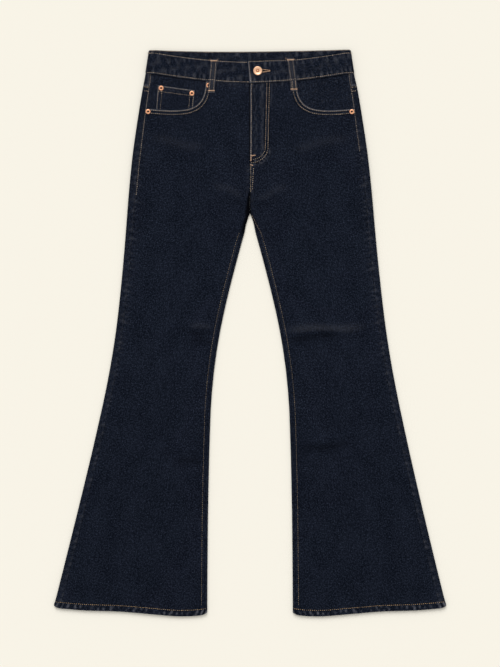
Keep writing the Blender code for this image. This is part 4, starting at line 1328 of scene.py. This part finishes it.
def waistband_rows(needle):
    """Rows along both edges of the band, and down the end of its overlap."""
    heavy = thread().heavy
    side, gap = BAND.widest - 1.5 * MM, 3.5 * MM
    low_y, high_y = BAND.bottom(0) + BAND_LOW_ROW, BAND.lapped_top(0) - BAND_HIGH_ROW
    low_x, high_x = (BAND.overlap_at(y) + BAND_END_ROW for y in (low_y, high_y))
    for start, end, edge, inset in (
        (low_x, side, BAND.bottom, BAND_LOW_ROW),
        (high_x, side, BAND.lapped_top, -BAND_HIGH_ROW),
        (-side, low_x - gap, BAND.bottom, BAND_LOW_ROW),
        (-side, high_x - gap, BAND.top, -BAND_HIGH_ROW),
    ):
        xs = np.linspace(start, end, 80)
        needle.row(plan_of(xs, edge(xs) + inset), heavy)
    xs = np.linspace(-side + 4 * MM, side - 4 * MM, 80)
    needle.row(plan_of(xs, BAND.top(xs, -1.0) - BAND_HIGH_ROW), heavy)
    needle.row([(high_x, high_y), (low_x, low_y)], heavy)


def buttonhole_stitches(needle):
    """Thread wound over the edge of the slit, close together and fanned round its end."""
    (x0, y0), (x1, _) = buttonhole()
    width, reach = 0.62 * MM, 1.4 * MM
    start, end = x0 + 8 * MM, np.array([x1, y0])
    for x in np.arange(start, x1, width):
        half = mix(1.9 * MM, 0.1 * MM, (x - start) / (x1 - start))
        for side in (-1, 1):
            needle.stitch((x, y0 + side * half), (x, y0 + side * (half + reach)), width, sunk=0.1)
    for turn in np.radians(np.arange(-80, 81, 20)):
        out = np.array([cos(turn), sin(turn)])
        needle.stitch(end + out * 0.1 * MM, end + out * reach, width, sunk=0.1)


def pocket_rows(needle):
    """Two rows round each pocket mouth, and the rows of the coin pocket."""
    t = thread()
    for leg in LEGS.values():
        for row in MOUTH_ROWS:
            needle.row(mirrored(leg, beside(leg.mouth_line, row)), t.heavy)
    left, right, low_left, low_right = corners_of("coin_pocket")
    down_left, down_right = low_left - left, low_right - right
    across = (right - left) / hypot(*(right - left))
    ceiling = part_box("coin_pocket")[1].z + 0.55 * MM
    for row in COIN_TOP_ROWS:
        drop_left, drop_right = (row * down / hypot(*down) for down in (down_left, down_right))
        needle.row([left + drop_left + across * MM, right + drop_right - across * MM], t.fine, ceiling)
    for row in COIN_SIDE_ROWS:
        needle.row([left + across * row + down_left * 0.03, low_left + across * row], t.fine, ceiling)
        needle.row([right - across * row + down_right * 0.03, low_right - across * row], t.fine, ceiling)


def fly_rows(needle):
    """The fly's J, its edge, and the double rows of the centre seam below it."""
    low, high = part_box("fly_facing")
    crotch = LEGS["left"].crotch
    for line in (
        fly_row(FLY_OUTER),
        fly_row(FLY_INNER),
        [(3.2 * MM, high.y - 1 * MM), (2.8 * MM, 0.42), (1.8 * MM, low.y + 16 * MM)],
        [(1.6 * MM, low.y), (1.2 * MM, crotch + 40 * MM)],
        [(6.6 * MM, low.y - 7 * MM), (4.4 * MM, crotch + 45 * MM)],
    ):
        needle.row(line, thread().heavy)


def seam_rows(needle):
    """Topstitches along the outseams and the ends of the yoke seams."""
    t = thread()
    for leg in LEGS.values():
        mouth_end = leg.top_line[-1][1]
        for high, low in (
            (leg.side_band_y - 4 * MM, mouth_end + 1.5 * MM),
            (mouth_end - 1.5 * MM, OUTSEAM_ROW_ENDS[leg.side]),
        ):
            ys = np.linspace(high, low, 60)
            needle.row(mirrored(leg, plan_of(leg.seam_out(ys) - OUTSEAM_ROW, ys)), t.fine)
        seam = yoke_line(leg)
        xs = np.linspace(float(leg.seam_out(YOKE_ROWS_Y)), float(leg.outer(YOKE_ROWS_Y)) - 1.5 * MM, 6)
        for row in YOKE_ROWS_FRONT:
            needle.row(mirrored(leg, plan_of(xs, seam(xs) - row)), 2.3 * t.heavy)


def inseam_rows(needle):
    """A fine row down each inseam."""
    for leg in LEGS.values():
        start = leg.crotch - (36 if leg.side == "right" else 4) * MM
        ys = np.linspace(start, leg.hem_corner + 1 * MM, 200)
        inset = INSEAM_ROW * (0.25 + 0.75 * rise(leg.crotch - ys, 0, 55 * MM))
        needle.row(mirrored(leg, plan_of(leg.seam_in(ys) + inset, ys)), thread().fine)


def hem_rows(needle):
    """A row round the front of each hem."""
    shares = np.linspace(0.003, 0.997, 90)
    for leg in LEGS.values():
        level = leg.hem_line(shares) + HEM_ROW
        ends = leg.inner(level) + 0.8 * MM, leg.outer(level) - 1.2 * MM
        needle.row(mirrored(leg, plan_of(mix(*ends, shares), level)), thread().heavy)


def loop_rows(needle):
    """Two rows down each belt loop of the front."""
    for node in FRONT_LOOPS:
        left, right, low_left, low_right = corners_of(node)
        for inset in (0.2, 0.8):
            top, foot = mix(left, right, inset), mix(low_left, low_right, inset)
            needle.row([mix(top, foot, 0.06), mix(top, foot, 0.94)], thread().fine)


def bartacks(needle):
    """Bars across the ends of the belt loops, with stray thread ends, and along the fly."""
    for node in FRONT_LOOPS:
        left, right, low_left, low_right = corners_of(node)
        for share in (0.045, 0.935):
            start, end = mix(left, low_left, share), mix(right, low_right, share)
            needle.bar(mix(start, end, 0.03), mix(start, end, 0.97), 2.1 * MM, 0.85 * MM)
        for share in (-0.12, 0.02, 0.96, 1.12):
            place = mix(left, right, share) + needle.rng.uniform(-1.2, 0.6, 2) * MM
            turn = needle.rng.uniform(0.6, 2.4)
            tail = np.array([cos(turn), sin(turn)]) * needle.rng.uniform(2, 4) * MM
            needle.stitch(place - tail / 2, place + tail / 2, 0.45 * MM, sunk=-0.4)
    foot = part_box("fly_facing")[0].y
    needle.bar((1.0 * MM, foot + 15.5 * MM), (10 * MM, foot + 17 * MM), 1.9 * MM, 0.8 * MM)
    needle.bar((1.6 * MM, foot + 6 * MM), (1.8 * MM, foot + 13 * MM), 1.7 * MM, 0.8 * MM)
    needle.bar((1.0 * MM, foot - 1 * MM), (5.5 * MM, foot - 2.5 * MM), 1.5 * MM, 0.7 * MM)


def back_rows(needle):
    """Double rows on the back: yokes, centre seam, pockets, waistband and belt loops."""
    t = thread()
    for leg in LEGS.values():
        seam = yoke_line(leg)
        xs = np.linspace(1.5 * MM, float(leg.outer(YOKE_ROWS_Y)) - 3 * MM, 60)
        for row in YOKE_ROWS_BACK:
            needle.row(mirrored(leg, plan_of(xs, seam(xs) - row)), t.heavy)
        node = f"back_pocket_{leg.side}"
        left, right, low_left, low_right = corners_of(node)
        foot, middle = corner(node, 0, -1), (left + right + low_left + low_right) / 4
        outline = np.array([left, low_left, foot, low_right, right])
        for inset in (0.975, 0.89):
            needle.row(mix(middle, outline, inset), t.heavy)
        needle.row([mix(left, foot, 0.06), mix(right, foot, 0.06)], t.heavy)
    leg = LEGS["left"]
    for x in (1.6 * MM, 8 * MM):
        needle.row([(x, float(yoke_line(leg)(0.0)) - 3 * MM), (x, leg.crotch + 8 * MM)], t.heavy)
    xs = np.linspace(-BAND.widest + 7 * MM, BAND.widest - 7 * MM, 80)
    needle.row(plan_of(xs, BAND.bottom(xs, -1.0) + BAND_LOW_ROW), t.heavy)
    needle.row(plan_of(xs, BAND.top(xs, -1.0) - BAND_HIGH_ROW), t.heavy)
    for node in BACK_LOOPS:
        left, right, low_left, low_right = corners_of(node)
        for inset in (0.2, 0.8):
            needle.row([mix(left, right, inset), mix(low_left, low_right, inset)], t.fine)
        for share in (0.05, 0.95):
            start, end = mix(left, low_left, share), mix(right, low_right, share)
            needle.bar(mix(start, end, 0.05), mix(start, end, 0.95), 2.1 * MM, 0.8 * MM)


# Each thread object's rows and the colour of its thread.
THREADS = {
    "thread_waistband": (waistband_rows, "tan"),
    "thread_pockets": (pocket_rows, "tan"),
    "thread_fly": (fly_rows, "tan"),
    "thread_seams": (seam_rows, "tan"),
    "thread_belt_loops": (loop_rows, "tan"),
    "thread_back": (back_rows, "tan"),
    "thread_inseams": (inseam_rows, "pale"),
    "thread_hems": (hem_rows, "golden"),
    "thread_bartacks": (bartacks, "bright"),
    "thread_buttonhole": (buttonhole_stitches, "bright"),
}


# ---------------------------------------------------------------- button and rivets


# Faces of the turned copper, from the middle outwards: each point's radius as a share of the
# piece's radius, and its depth below the top in millimetres.
BUTTON_FACE = (
    (0.0, 0.35), (0.12, 0.45), (0.20, 0.95), (0.30, 1.25), (0.36, 0.85),
    (0.44, 0.75), (0.60, 0.6), (0.76, 0.1), (0.86, 0.0), (0.95, 0.35),
    (1.0, 1.1), (0.97, 1.7), (0.85, 1.95), (0.26, 1.95), (0.24, 2.4),
)
RIVET_FACE = (
    (0.0, 0.7), (0.28, 0.75), (0.36, 0.95), (0.42, 0.6),
    (0.54, 0.05), (0.72, 0.0), (0.92, 0.35), (1.0, 0.9),
)
# The turned pieces are a little smaller than their stand-ins, and the button sits off its middle.
BUTTON_SHARE, RIVET_SHARE = 0.95, 0.93
BUTTON_ASIDE = -0.6 * MM, -1.1 * MM


def face_of(face, radius, top):
    """A face's outline in metres, as radius and height."""
    return [(share * radius, top - depth * MM) for share, depth in face]


def turned(name, node, outline, looks, recess, aside=(0, 0)):
    """A turned piece on a CAD node's axis, from its outline of radii and heights.

    The second look is that of its recess: an inner and outer radius, and the height it lies above.
    """
    low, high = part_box(node)
    middle = (low + high) / 2
    bm = bmesh.new()
    profile = [bm.verts.new((radius, 0.0, height)) for radius, height in outline]
    edges = [bm.edges.new(pair) for pair in zip(profile[:-1], profile[1:])]
    bmesh.ops.spin(
        bm, geom=profile + edges, cent=(0, 0, 0), axis=(0, 0, 1), angle=2 * pi, steps=56, use_merge=True
    )
    bmesh.ops.remove_doubles(bm, verts=bm.verts, dist=0.01 * MM)
    bmesh.ops.recalc_face_normals(bm, faces=bm.faces)
    inner, outer, foot = recess
    for face in bm.faces:
        at = face.calc_center_median()
        face.material_index = int(inner < hypot(at.x, at.y) < outer and at.z > foot)
    bmesh.ops.translate(bm, verts=bm.verts, vec=(middle.x + aside[0], middle.y + aside[1], 0.0))
    mesh = mesh_of(bm, name)
    made = add_object(name, mesh, looks)
    mesh.set_sharp_from_angle(angle=radians(50))
    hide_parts(node)
    return made


def smooth_outline(points, count=6):
    """A turned outline with its corners rounded: each corner becomes a short curve."""
    points = np.array(points, float)
    line = [points[0]]
    for a, b, c in zip(points[:-2], points[1:-1], points[2:]):
        near = min(hypot(*(b - a)), hypot(*(c - b))) * 0.42
        start = b + (a - b) / hypot(*(b - a)) * near
        end = b + (c - b) / hypot(*(c - b)) * near
        for t in np.linspace(0, 1, count):
            line.append(mix(mix(start, b, t), mix(b, end, t), t))
    line.append(points[-1])
    return [tuple(point) for point in line]


def button(looks):
    """A tack button: a boss in the middle of a dished face with raised rings, on a shank."""
    low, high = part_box("button")
    radius, top = BUTTON_SHARE * (high.x - low.x) / 2, high.z
    shank = [(0.24 * radius, low.z + 0.3 * MM), (0.2 * radius, low.z), (0.0, low.z)]
    outline = smooth_outline(face_of(BUTTON_FACE, radius, top) + shank)
    recess = 0.17 * radius, 0.37 * radius, top - 1.5 * MM
    return turned("copper_button", "button", outline, looks, recess, BUTTON_ASIDE)


def rivet(node, looks):
    """A rivet: a rounded copper rim, a dished ring, and a near-black middle that paints the shade of its
    hole.
    """
    low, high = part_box(node)
    radius = RIVET_SHARE * (high.x - low.x) / 2
    foot = [(0.97 * radius, low.z), (0.0, low.z)]
    outline = smooth_outline(face_of(RIVET_FACE, radius, high.z) + foot)
    # The middle of the rivet gets the near-black painted shade of its hole.
    recess = 0.0, 0.40 * radius, low.z + 0.2 * MM
    return turned(node.replace("rivet", "copper_rivet"), node, outline, looks, recess)


# ---------------------------------------------------------------- materials


def plug(tree, value, socket):
    """Gives an input its value: another node's socket to follow, a number or a colour."""
    if isinstance(value, bpy.types.NodeSocket):
        tree.links.new(value, socket)
    else:
        socket.default_value = value


def add_node(tree, kind, **settings):
    """A shader node with its properties and its inputs set; an input may be another node's socket."""
    node = tree.nodes.new(kind)
    for name, value in settings.items():
        if hasattr(node, name):
            setattr(node, name, value)
        else:
            plug(tree, value, node.inputs[name.replace("_", " ")])
    return node


def new_look(name):
    """A new material and its node tree."""
    look = bpy.data.materials.new(name)
    look.use_nodes = True
    return look, look.node_tree


def set_shader(tree, **inputs):
    """Sets some inputs of a material's shader."""
    shader = tree.nodes["Principled BSDF"]
    for name, value in inputs.items():
        plug(tree, value, shader.inputs[name.replace("_", " ")])


def ramp(tree, factor, low, high):
    """A factor spread from 0 at low to 1 at high."""
    return add_node(
        tree, "ShaderNodeMapRange", Value=factor, From_Min=low, From_Max=high, interpolation_type="SMOOTHSTEP"
    ).outputs["Result"]


def blend(tree, factor, a, b):
    """Two colours mixed by a factor. Each colour is a socket or linear red, green and blue."""
    node = add_node(tree, "ShaderNodeMix", data_type="RGBA", clamp_factor=True)
    plug(tree, factor, node.inputs[0])
    for place, colour in ((6, a), (7, b)):
        linked = isinstance(colour, bpy.types.NodeSocket)
        plug(tree, colour if linked else (*colour, 1.0), node.inputs[place])
    return node.outputs[2]


def arithmetic(tree, operation, *values):
    """A maths node on some values, each a socket or a number."""
    node = add_node(tree, "ShaderNodeMath", operation=operation)
    for value, socket in zip(values, node.inputs):
        plug(tree, value, socket)
    return node.outputs[0]


def weighted(tree, *parts):
    """The sum of some factors, each times its share."""
    total = 0.0
    for factor, share in parts:
        total = arithmetic(tree, "MULTIPLY_ADD", factor, share, total)
    return total


def stretched(tree, source, across, along):
    """Coordinates counted in units of a width across the cloth and a length along it."""
    return add_node(
        tree, "ShaderNodeMapping", Vector=source, Scale=(1 / across, 1 / along, 1 / across)
    ).outputs["Vector"]


def noise(tree, source, across, along, detail=2.0):
    """A cloudy factor whose clouds have a width and a length."""
    return add_node(
        tree, "ShaderNodeTexNoise", Vector=stretched(tree, source, across, along), Scale=1.0, Detail=detail
    ).outputs["Fac"]


# The twill's slant across the cloth, and the wave texture's scale at which its lines lie a metre apart.
TWILL_SLANT, WAVE_TEXTURE = radians(-27), 0.314


def denim_look(name):
    """Dark rinsed indigo twill: a warp-faced weave dyed on its surface only.

    The eye gets a near-black blue cloth with pale flecks where the white filling shows, slanting
    twill lines, darker and paler lengthwise yarns, and grey-brown edges where the dye has rubbed off. The
    grey-brown also paints highlights on crease and pucker crests, and a near-black paints the shade in
    creases, grooves and between the legs.
    """
    s = cloth_settings()
    look, tree = new_look(name)
    weave = add_node(tree, "ShaderNodeUVMap", uv_map="weave").outputs["UV"]
    grain = ramp(tree, noise(tree, weave, 0.85 * s.fleck, s.fleck, 2.0), 0.40, 0.74)
    flecks = ramp(tree, noise(tree, weave, 0.6 * s.fleck, 0.7 * s.fleck, 0.0), 0.60, 0.80)
    # Real yarns are 0.5 mm wide; the streaks stand for bundles of them, which a whole pair shows.
    yarns = ramp(tree, noise(tree, weave, s.yarn, 18 * s.yarn), 0.3, 0.75)
    cloud = ramp(tree, noise(tree, weave, 38 * MM, 55 * MM, 3.0), 0.3, 0.7)
    tone = weighted(tree, (grain, 0.40), (flecks, 0.55), (yarns, 0.07), (cloud, 0.08))
    indigo = blend(tree, tone, s.dark, s.light)
    # rubbed is wear and painted light and shade: above zero it mixes in the pale colour, for rubbed edges and
    # painted highlights.
    rubbed = add_node(tree, "ShaderNodeAttribute", attribute_name="worn").outputs["Fac"]
    patchy = ramp(tree, noise(tree, weave, 2.2 * MM, 3.4 * MM, 2.0), 0.25, 0.75)
    patchy = arithmetic(tree, "MULTIPLY_ADD", patchy, 0.9, 0.4)
    colour = blend(tree, arithmetic(tree, "MULTIPLY", rubbed, patchy), indigo, s.worn)
    # Painted shade: below zero the cloth darkens to the near-black crease shade colour.
    colour = blend(tree, arithmetic(tree, "MULTIPLY", rubbed, -1.0), colour, s.crease_shade)
    # The real twill lines lie 0.6 mm apart, too fine for a whole pair of jeans, so they are coarser here.
    slanted = add_node(tree, "ShaderNodeMapping", Vector=weave, Rotation=(0, 0, TWILL_SLANT))
    twill = add_node(
        tree,
        "ShaderNodeTexWave",
        Vector=slanted.outputs["Vector"],
        Scale=WAVE_TEXTURE / s.twill,
        Distortion=1.2,
        Detail=1.0,
    ).outputs["Fac"]
    surface = arithmetic(tree, "MULTIPLY_ADD", twill, 0.5, flecks)
    bump = add_node(tree, "ShaderNodeBump", Height=surface, Strength=0.35, Distance=0.25 * MM)
    normal = bump.outputs["Normal"]
    set_shader(tree, Base_Color=colour, Normal=normal, Roughness=0.92, Specular_IOR_Level=0.05)
    return look


def thread_look(name, colour):
    """Polyester-wrapped cotton thread: a dull sheen, darker where the plies lie in each other's shade."""
    look, tree = new_look(name)
    place = add_node(tree, "ShaderNodeTexCoord").outputs["Object"]
    plies = ramp(tree, noise(tree, place, 0.9 * MM, 0.9 * MM), 0.25, 0.6)
    tint = add_node(tree, "ShaderNodeAttribute", attribute_name="tint").outputs["Fac"]
    shade = arithmetic(tree, "MULTIPLY", arithmetic(tree, "ADD", plies, 0.25), tint)
    dark = tuple(0.20 * c for c in colour)
    plied = blend(tree, shade, dark, colour)
    set_shader(tree, Base_Color=plied, Roughness=0.6, Specular_IOR_Level=0.35)
    return look


def copper_look(name, colour, roughness):
    """Copper plating, polished by a tumbler, so that it shines with soft scuffs."""
    look, tree = new_look(name)
    place = add_node(tree, "ShaderNodeTexCoord").outputs["Object"]
    scuffs = noise(tree, place, 1.2 * MM, 1.2 * MM, 3.0)
    uneven = arithmetic(tree, "MULTIPLY", arithmetic(tree, "ADD", scuffs, 0.5), roughness)
    set_shader(tree, Base_Color=(*colour, 1.0), Metallic=1.0, Roughness=uneven)
    return look


def hole_shade_look(name):
    """Painted shade of the hole in a rivet's middle: almost black and a little shiny."""
    look, tree = new_look(name)
    colour = bpy.context.scene.jeans_trim.nail
    set_shader(tree, Base_Color=(*colour, 1.0), Metallic=0.6, Roughness=0.45)
    return look


def tape_look(name):
    """Woven polyester zip tape: flat navy, with fine cross ribs."""
    s = cloth_settings()
    look, tree = new_look(name)
    weave = add_node(tree, "ShaderNodeUVMap", uv_map="weave").outputs["UV"]
    ribs = noise(tree, weave, 9 * MM, 0.7 * MM)
    set_shader(tree, Base_Color=blend(tree, ribs, s.dark, s.light), Roughness=0.8)
    return look


def floor_look(name):
    """A plain cream paper backdrop, quite matt."""
    look, tree = new_look(name)
    colour = bpy.context.scene.jeans_stage.floor
    set_shader(tree, Base_Color=(*colour, 1.0), Roughness=1.0, Specular_IOR_Level=0.0)
    return look


def shared(name, make, *facts):
    """A material made once and then shared."""
    return bpy.data.materials.get(name) or make(name, *facts)


def denim():
    """The material of every denim piece."""
    return shared("Indigo denim, woven twill", denim_look)


THREAD_NAMES = {
    "tan": "Tan topstitch thread",
    "pale": "Pale tan seam thread",
    "golden": "Golden tan hem thread",
    "bright": "Bright tan bartack thread",
}


def thread_of(colour):
    """The material of one of the threads."""
    return shared(THREAD_NAMES[colour], thread_look, tuple(getattr(thread(), colour)))


def coppers():
    """The button's materials: its polished face and its tarnished recess."""
    trim = bpy.context.scene.jeans_trim
    return [
        shared("Rose copper, polished", copper_look, tuple(trim.copper), 0.40),
        shared("Rose copper, tarnished", copper_look, tuple(trim.tarnish), 0.5),
    ]


def rivet_looks():
    """The rivets' materials: the copper rim and the painted shade of the hole in its middle."""
    trim = bpy.context.scene.jeans_trim
    return [
        shared("Rose copper, tumbled", copper_look, tuple(trim.rivet), 0.45),
        shared("Blackened steel nail", hole_shade_look),
    ]


# ---------------------------------------------------------------- stage


def stage():
    """The surface the jeans lie on, a soft light from beyond the waist, and the camera overhead."""
    scene = bpy.context.scene
    t = scene.jeans_stage
    bm = bmesh.new()
    bmesh.ops.create_grid(bm, x_segments=1, y_segments=1, size=6.0)
    bmesh.ops.translate(bm, verts=bm.verts, vec=(0, 0, -0.5 * MM))
    mesh = mesh_of(bm, "floor")
    mesh.materials.append(shared("Cream backdrop paper", floor_look))
    floor = bpy.data.objects.new("floor", mesh)
    light = bpy.data.lights.new("key", "SUN")
    light.energy = t.key
    light.angle = t.spread
    key = bpy.data.objects.new("key", light)
    key.location = (-0.25, 1.7, 1.5)
    key.rotation_euler = (-key.location).to_track_quat("-Z", "Y").to_euler()
    world = bpy.data.worlds.new("even light")
    world.use_nodes = True
    background = world.node_tree.nodes["Background"]
    background.inputs["Color"].default_value = (1.0, 0.99, 0.965, 1.0)
    background.inputs["Strength"].default_value = t.fill
    scene.world = world
    camera = bpy.data.objects.new("camera", bpy.data.cameras.new("camera"))
    camera.location = (0, 0, t.distance)
    camera.data.lens = camera.data.sensor_width * t.distance / t.view
    for each in (floor, key, camera):
        scene.collection.objects.link(each)
    scene.camera = camera
    scene.view_settings.view_transform = "Standard"


# ---------------------------------------------------------------- operators


class JEANS_OT_legs(bpy.types.Operator):
    """Cut and lay the two back panels and the two front panels"""

    bl_idname = "jeans.legs"
    bl_label = "Legs"

    def execute(self, context):
        for leg in LEGS.values():
            back_panel(leg, denim())
            front_panel(leg, denim())
        return {"FINISHED"}


class JEANS_OT_yokes(bpy.types.Operator):
    """Lay the two back yokes"""

    bl_idname = "jeans.yokes"
    bl_label = "Yokes"

    def execute(self, context):
        for leg in LEGS.values():
            yoke_piece(leg, denim())
        return {"FINISHED"}


class JEANS_OT_waistband(bpy.types.Operator):
    """Lay the waistband, lapped left over right"""

    bl_idname = "jeans.waistband"
    bl_label = "Waistband"

    def execute(self, context):
        waistband(denim())
        return {"FINISHED"}


class JEANS_OT_pockets(bpy.types.Operator):
    """Lay the pocket facings, the coin pocket and the back pockets"""

    bl_idname = "jeans.pockets"
    bl_label = "Pockets"

    def execute(self, context):
        for leg in LEGS.values():
            pocket_facing(leg, denim())
            back_pocket(leg, denim())
        coin_pocket(denim())
        return {"FINISHED"}


class JEANS_OT_fly(bpy.types.Operator):
    """Lay the fly facing and the zip's tape, both under the left front"""

    bl_idname = "jeans.fly"
    bl_label = "Fly"

    def execute(self, context):
        hidden_fly(denim(), shared("Navy zip tape, woven", tape_look))
        return {"FINISHED"}


class JEANS_OT_belt_loops(bpy.types.Operator):
    """Sew on two belt loops in front and three behind"""

    bl_idname = "jeans.belt_loops"
    bl_label = "Belt loops"

    def execute(self, context):
        for node in FRONT_LOOPS + BACK_LOOPS:
            belt_loop(node, denim())
        return {"FINISHED"}


class JEANS_OT_topstitching(bpy.types.Operator):
    """Lay every row of topstitching and every bartack on the finished cloth"""

    bl_idname = "jeans.topstitching"
    bl_label = "Topstitching"

    def execute(self, context):
        if not cloth_made:
            raise RuntimeError("The cloth has to be laid before it can be stitched.")
        for name, (rows, colour) in THREADS.items():
            needle = Needle(under=name == "thread_back")
            rows(needle)
            needle.finish(name, thread_of(colour))
        return {"FINISHED"}


class JEANS_OT_button(bpy.types.Operator):
    """Turn the tack button"""

    bl_idname = "jeans.button"
    bl_label = "Button"

    def execute(self, context):
        button(coppers())
        return {"FINISHED"}


class JEANS_OT_rivets(bpy.types.Operator):
    """Turn the rivets at the pocket mouths and on the coin pocket"""

    bl_idname = "jeans.rivets"
    bl_label = "Rivets"

    def execute(self, context):
        for node in RIVETS:
            rivet(node, rivet_looks())
        return {"FINISHED"}


class JEANS_OT_stage(bpy.types.Operator):
    """Add the floor, the light and the camera"""

    bl_idname = "jeans.stage"
    bl_label = "Stage"

    def execute(self, context):
        stage()
        return {"FINISHED"}


OPERATORS = (
    JEANS_OT_legs,
    JEANS_OT_yokes,
    JEANS_OT_pockets,
    JEANS_OT_fly,
    JEANS_OT_waistband,
    JEANS_OT_belt_loops,
    JEANS_OT_topstitching,
    JEANS_OT_button,
    JEANS_OT_rivets,
    JEANS_OT_stage,
)
SETTINGS = {
    "jeans_cloth": JeansClothSettings,
    "jeans_relief": JeansReliefSettings,
    "jeans_thread": JeansThreadSettings,
    "jeans_trim": JeansTrimSettings,
    "jeans_stage": JeansStageSettings,
}


class JEANS_PT_sidebar(bpy.types.Panel):
    """Settings and steps of the jeans"""

    bl_label = "Flared Jeans"
    bl_idname = "JEANS_PT_sidebar"
    bl_space_type = "VIEW_3D"
    bl_region_type = "UI"
    bl_category = "Jeans"

    def draw(self, context):
        for name, settings in SETTINGS.items():
            box = self.layout.box()
            for key in settings.__annotations__:
                box.prop(getattr(context.scene, name), key)
        for operator in OPERATORS:
            self.layout.operator(operator.bl_idname)


def register():
    for name, settings in SETTINGS.items():
        bpy.utils.register_class(settings)
        setattr(bpy.types.Scene, name, PointerProperty(type=settings))
    for each in (*OPERATORS, JEANS_PT_sidebar):
        bpy.utils.register_class(each)


def unregister():
    for each in (JEANS_PT_sidebar, *reversed(OPERATORS)):
        bpy.utils.unregister_class(each)
    for name, settings in SETTINGS.items():
        delattr(bpy.types.Scene, name)
        bpy.utils.unregister_class(settings)


def main():
    register()
    for operator in OPERATORS:
        group, step = operator.bl_idname.split(".")
        getattr(getattr(bpy.ops, group), step)()


if __name__ == "__main__":
    main()
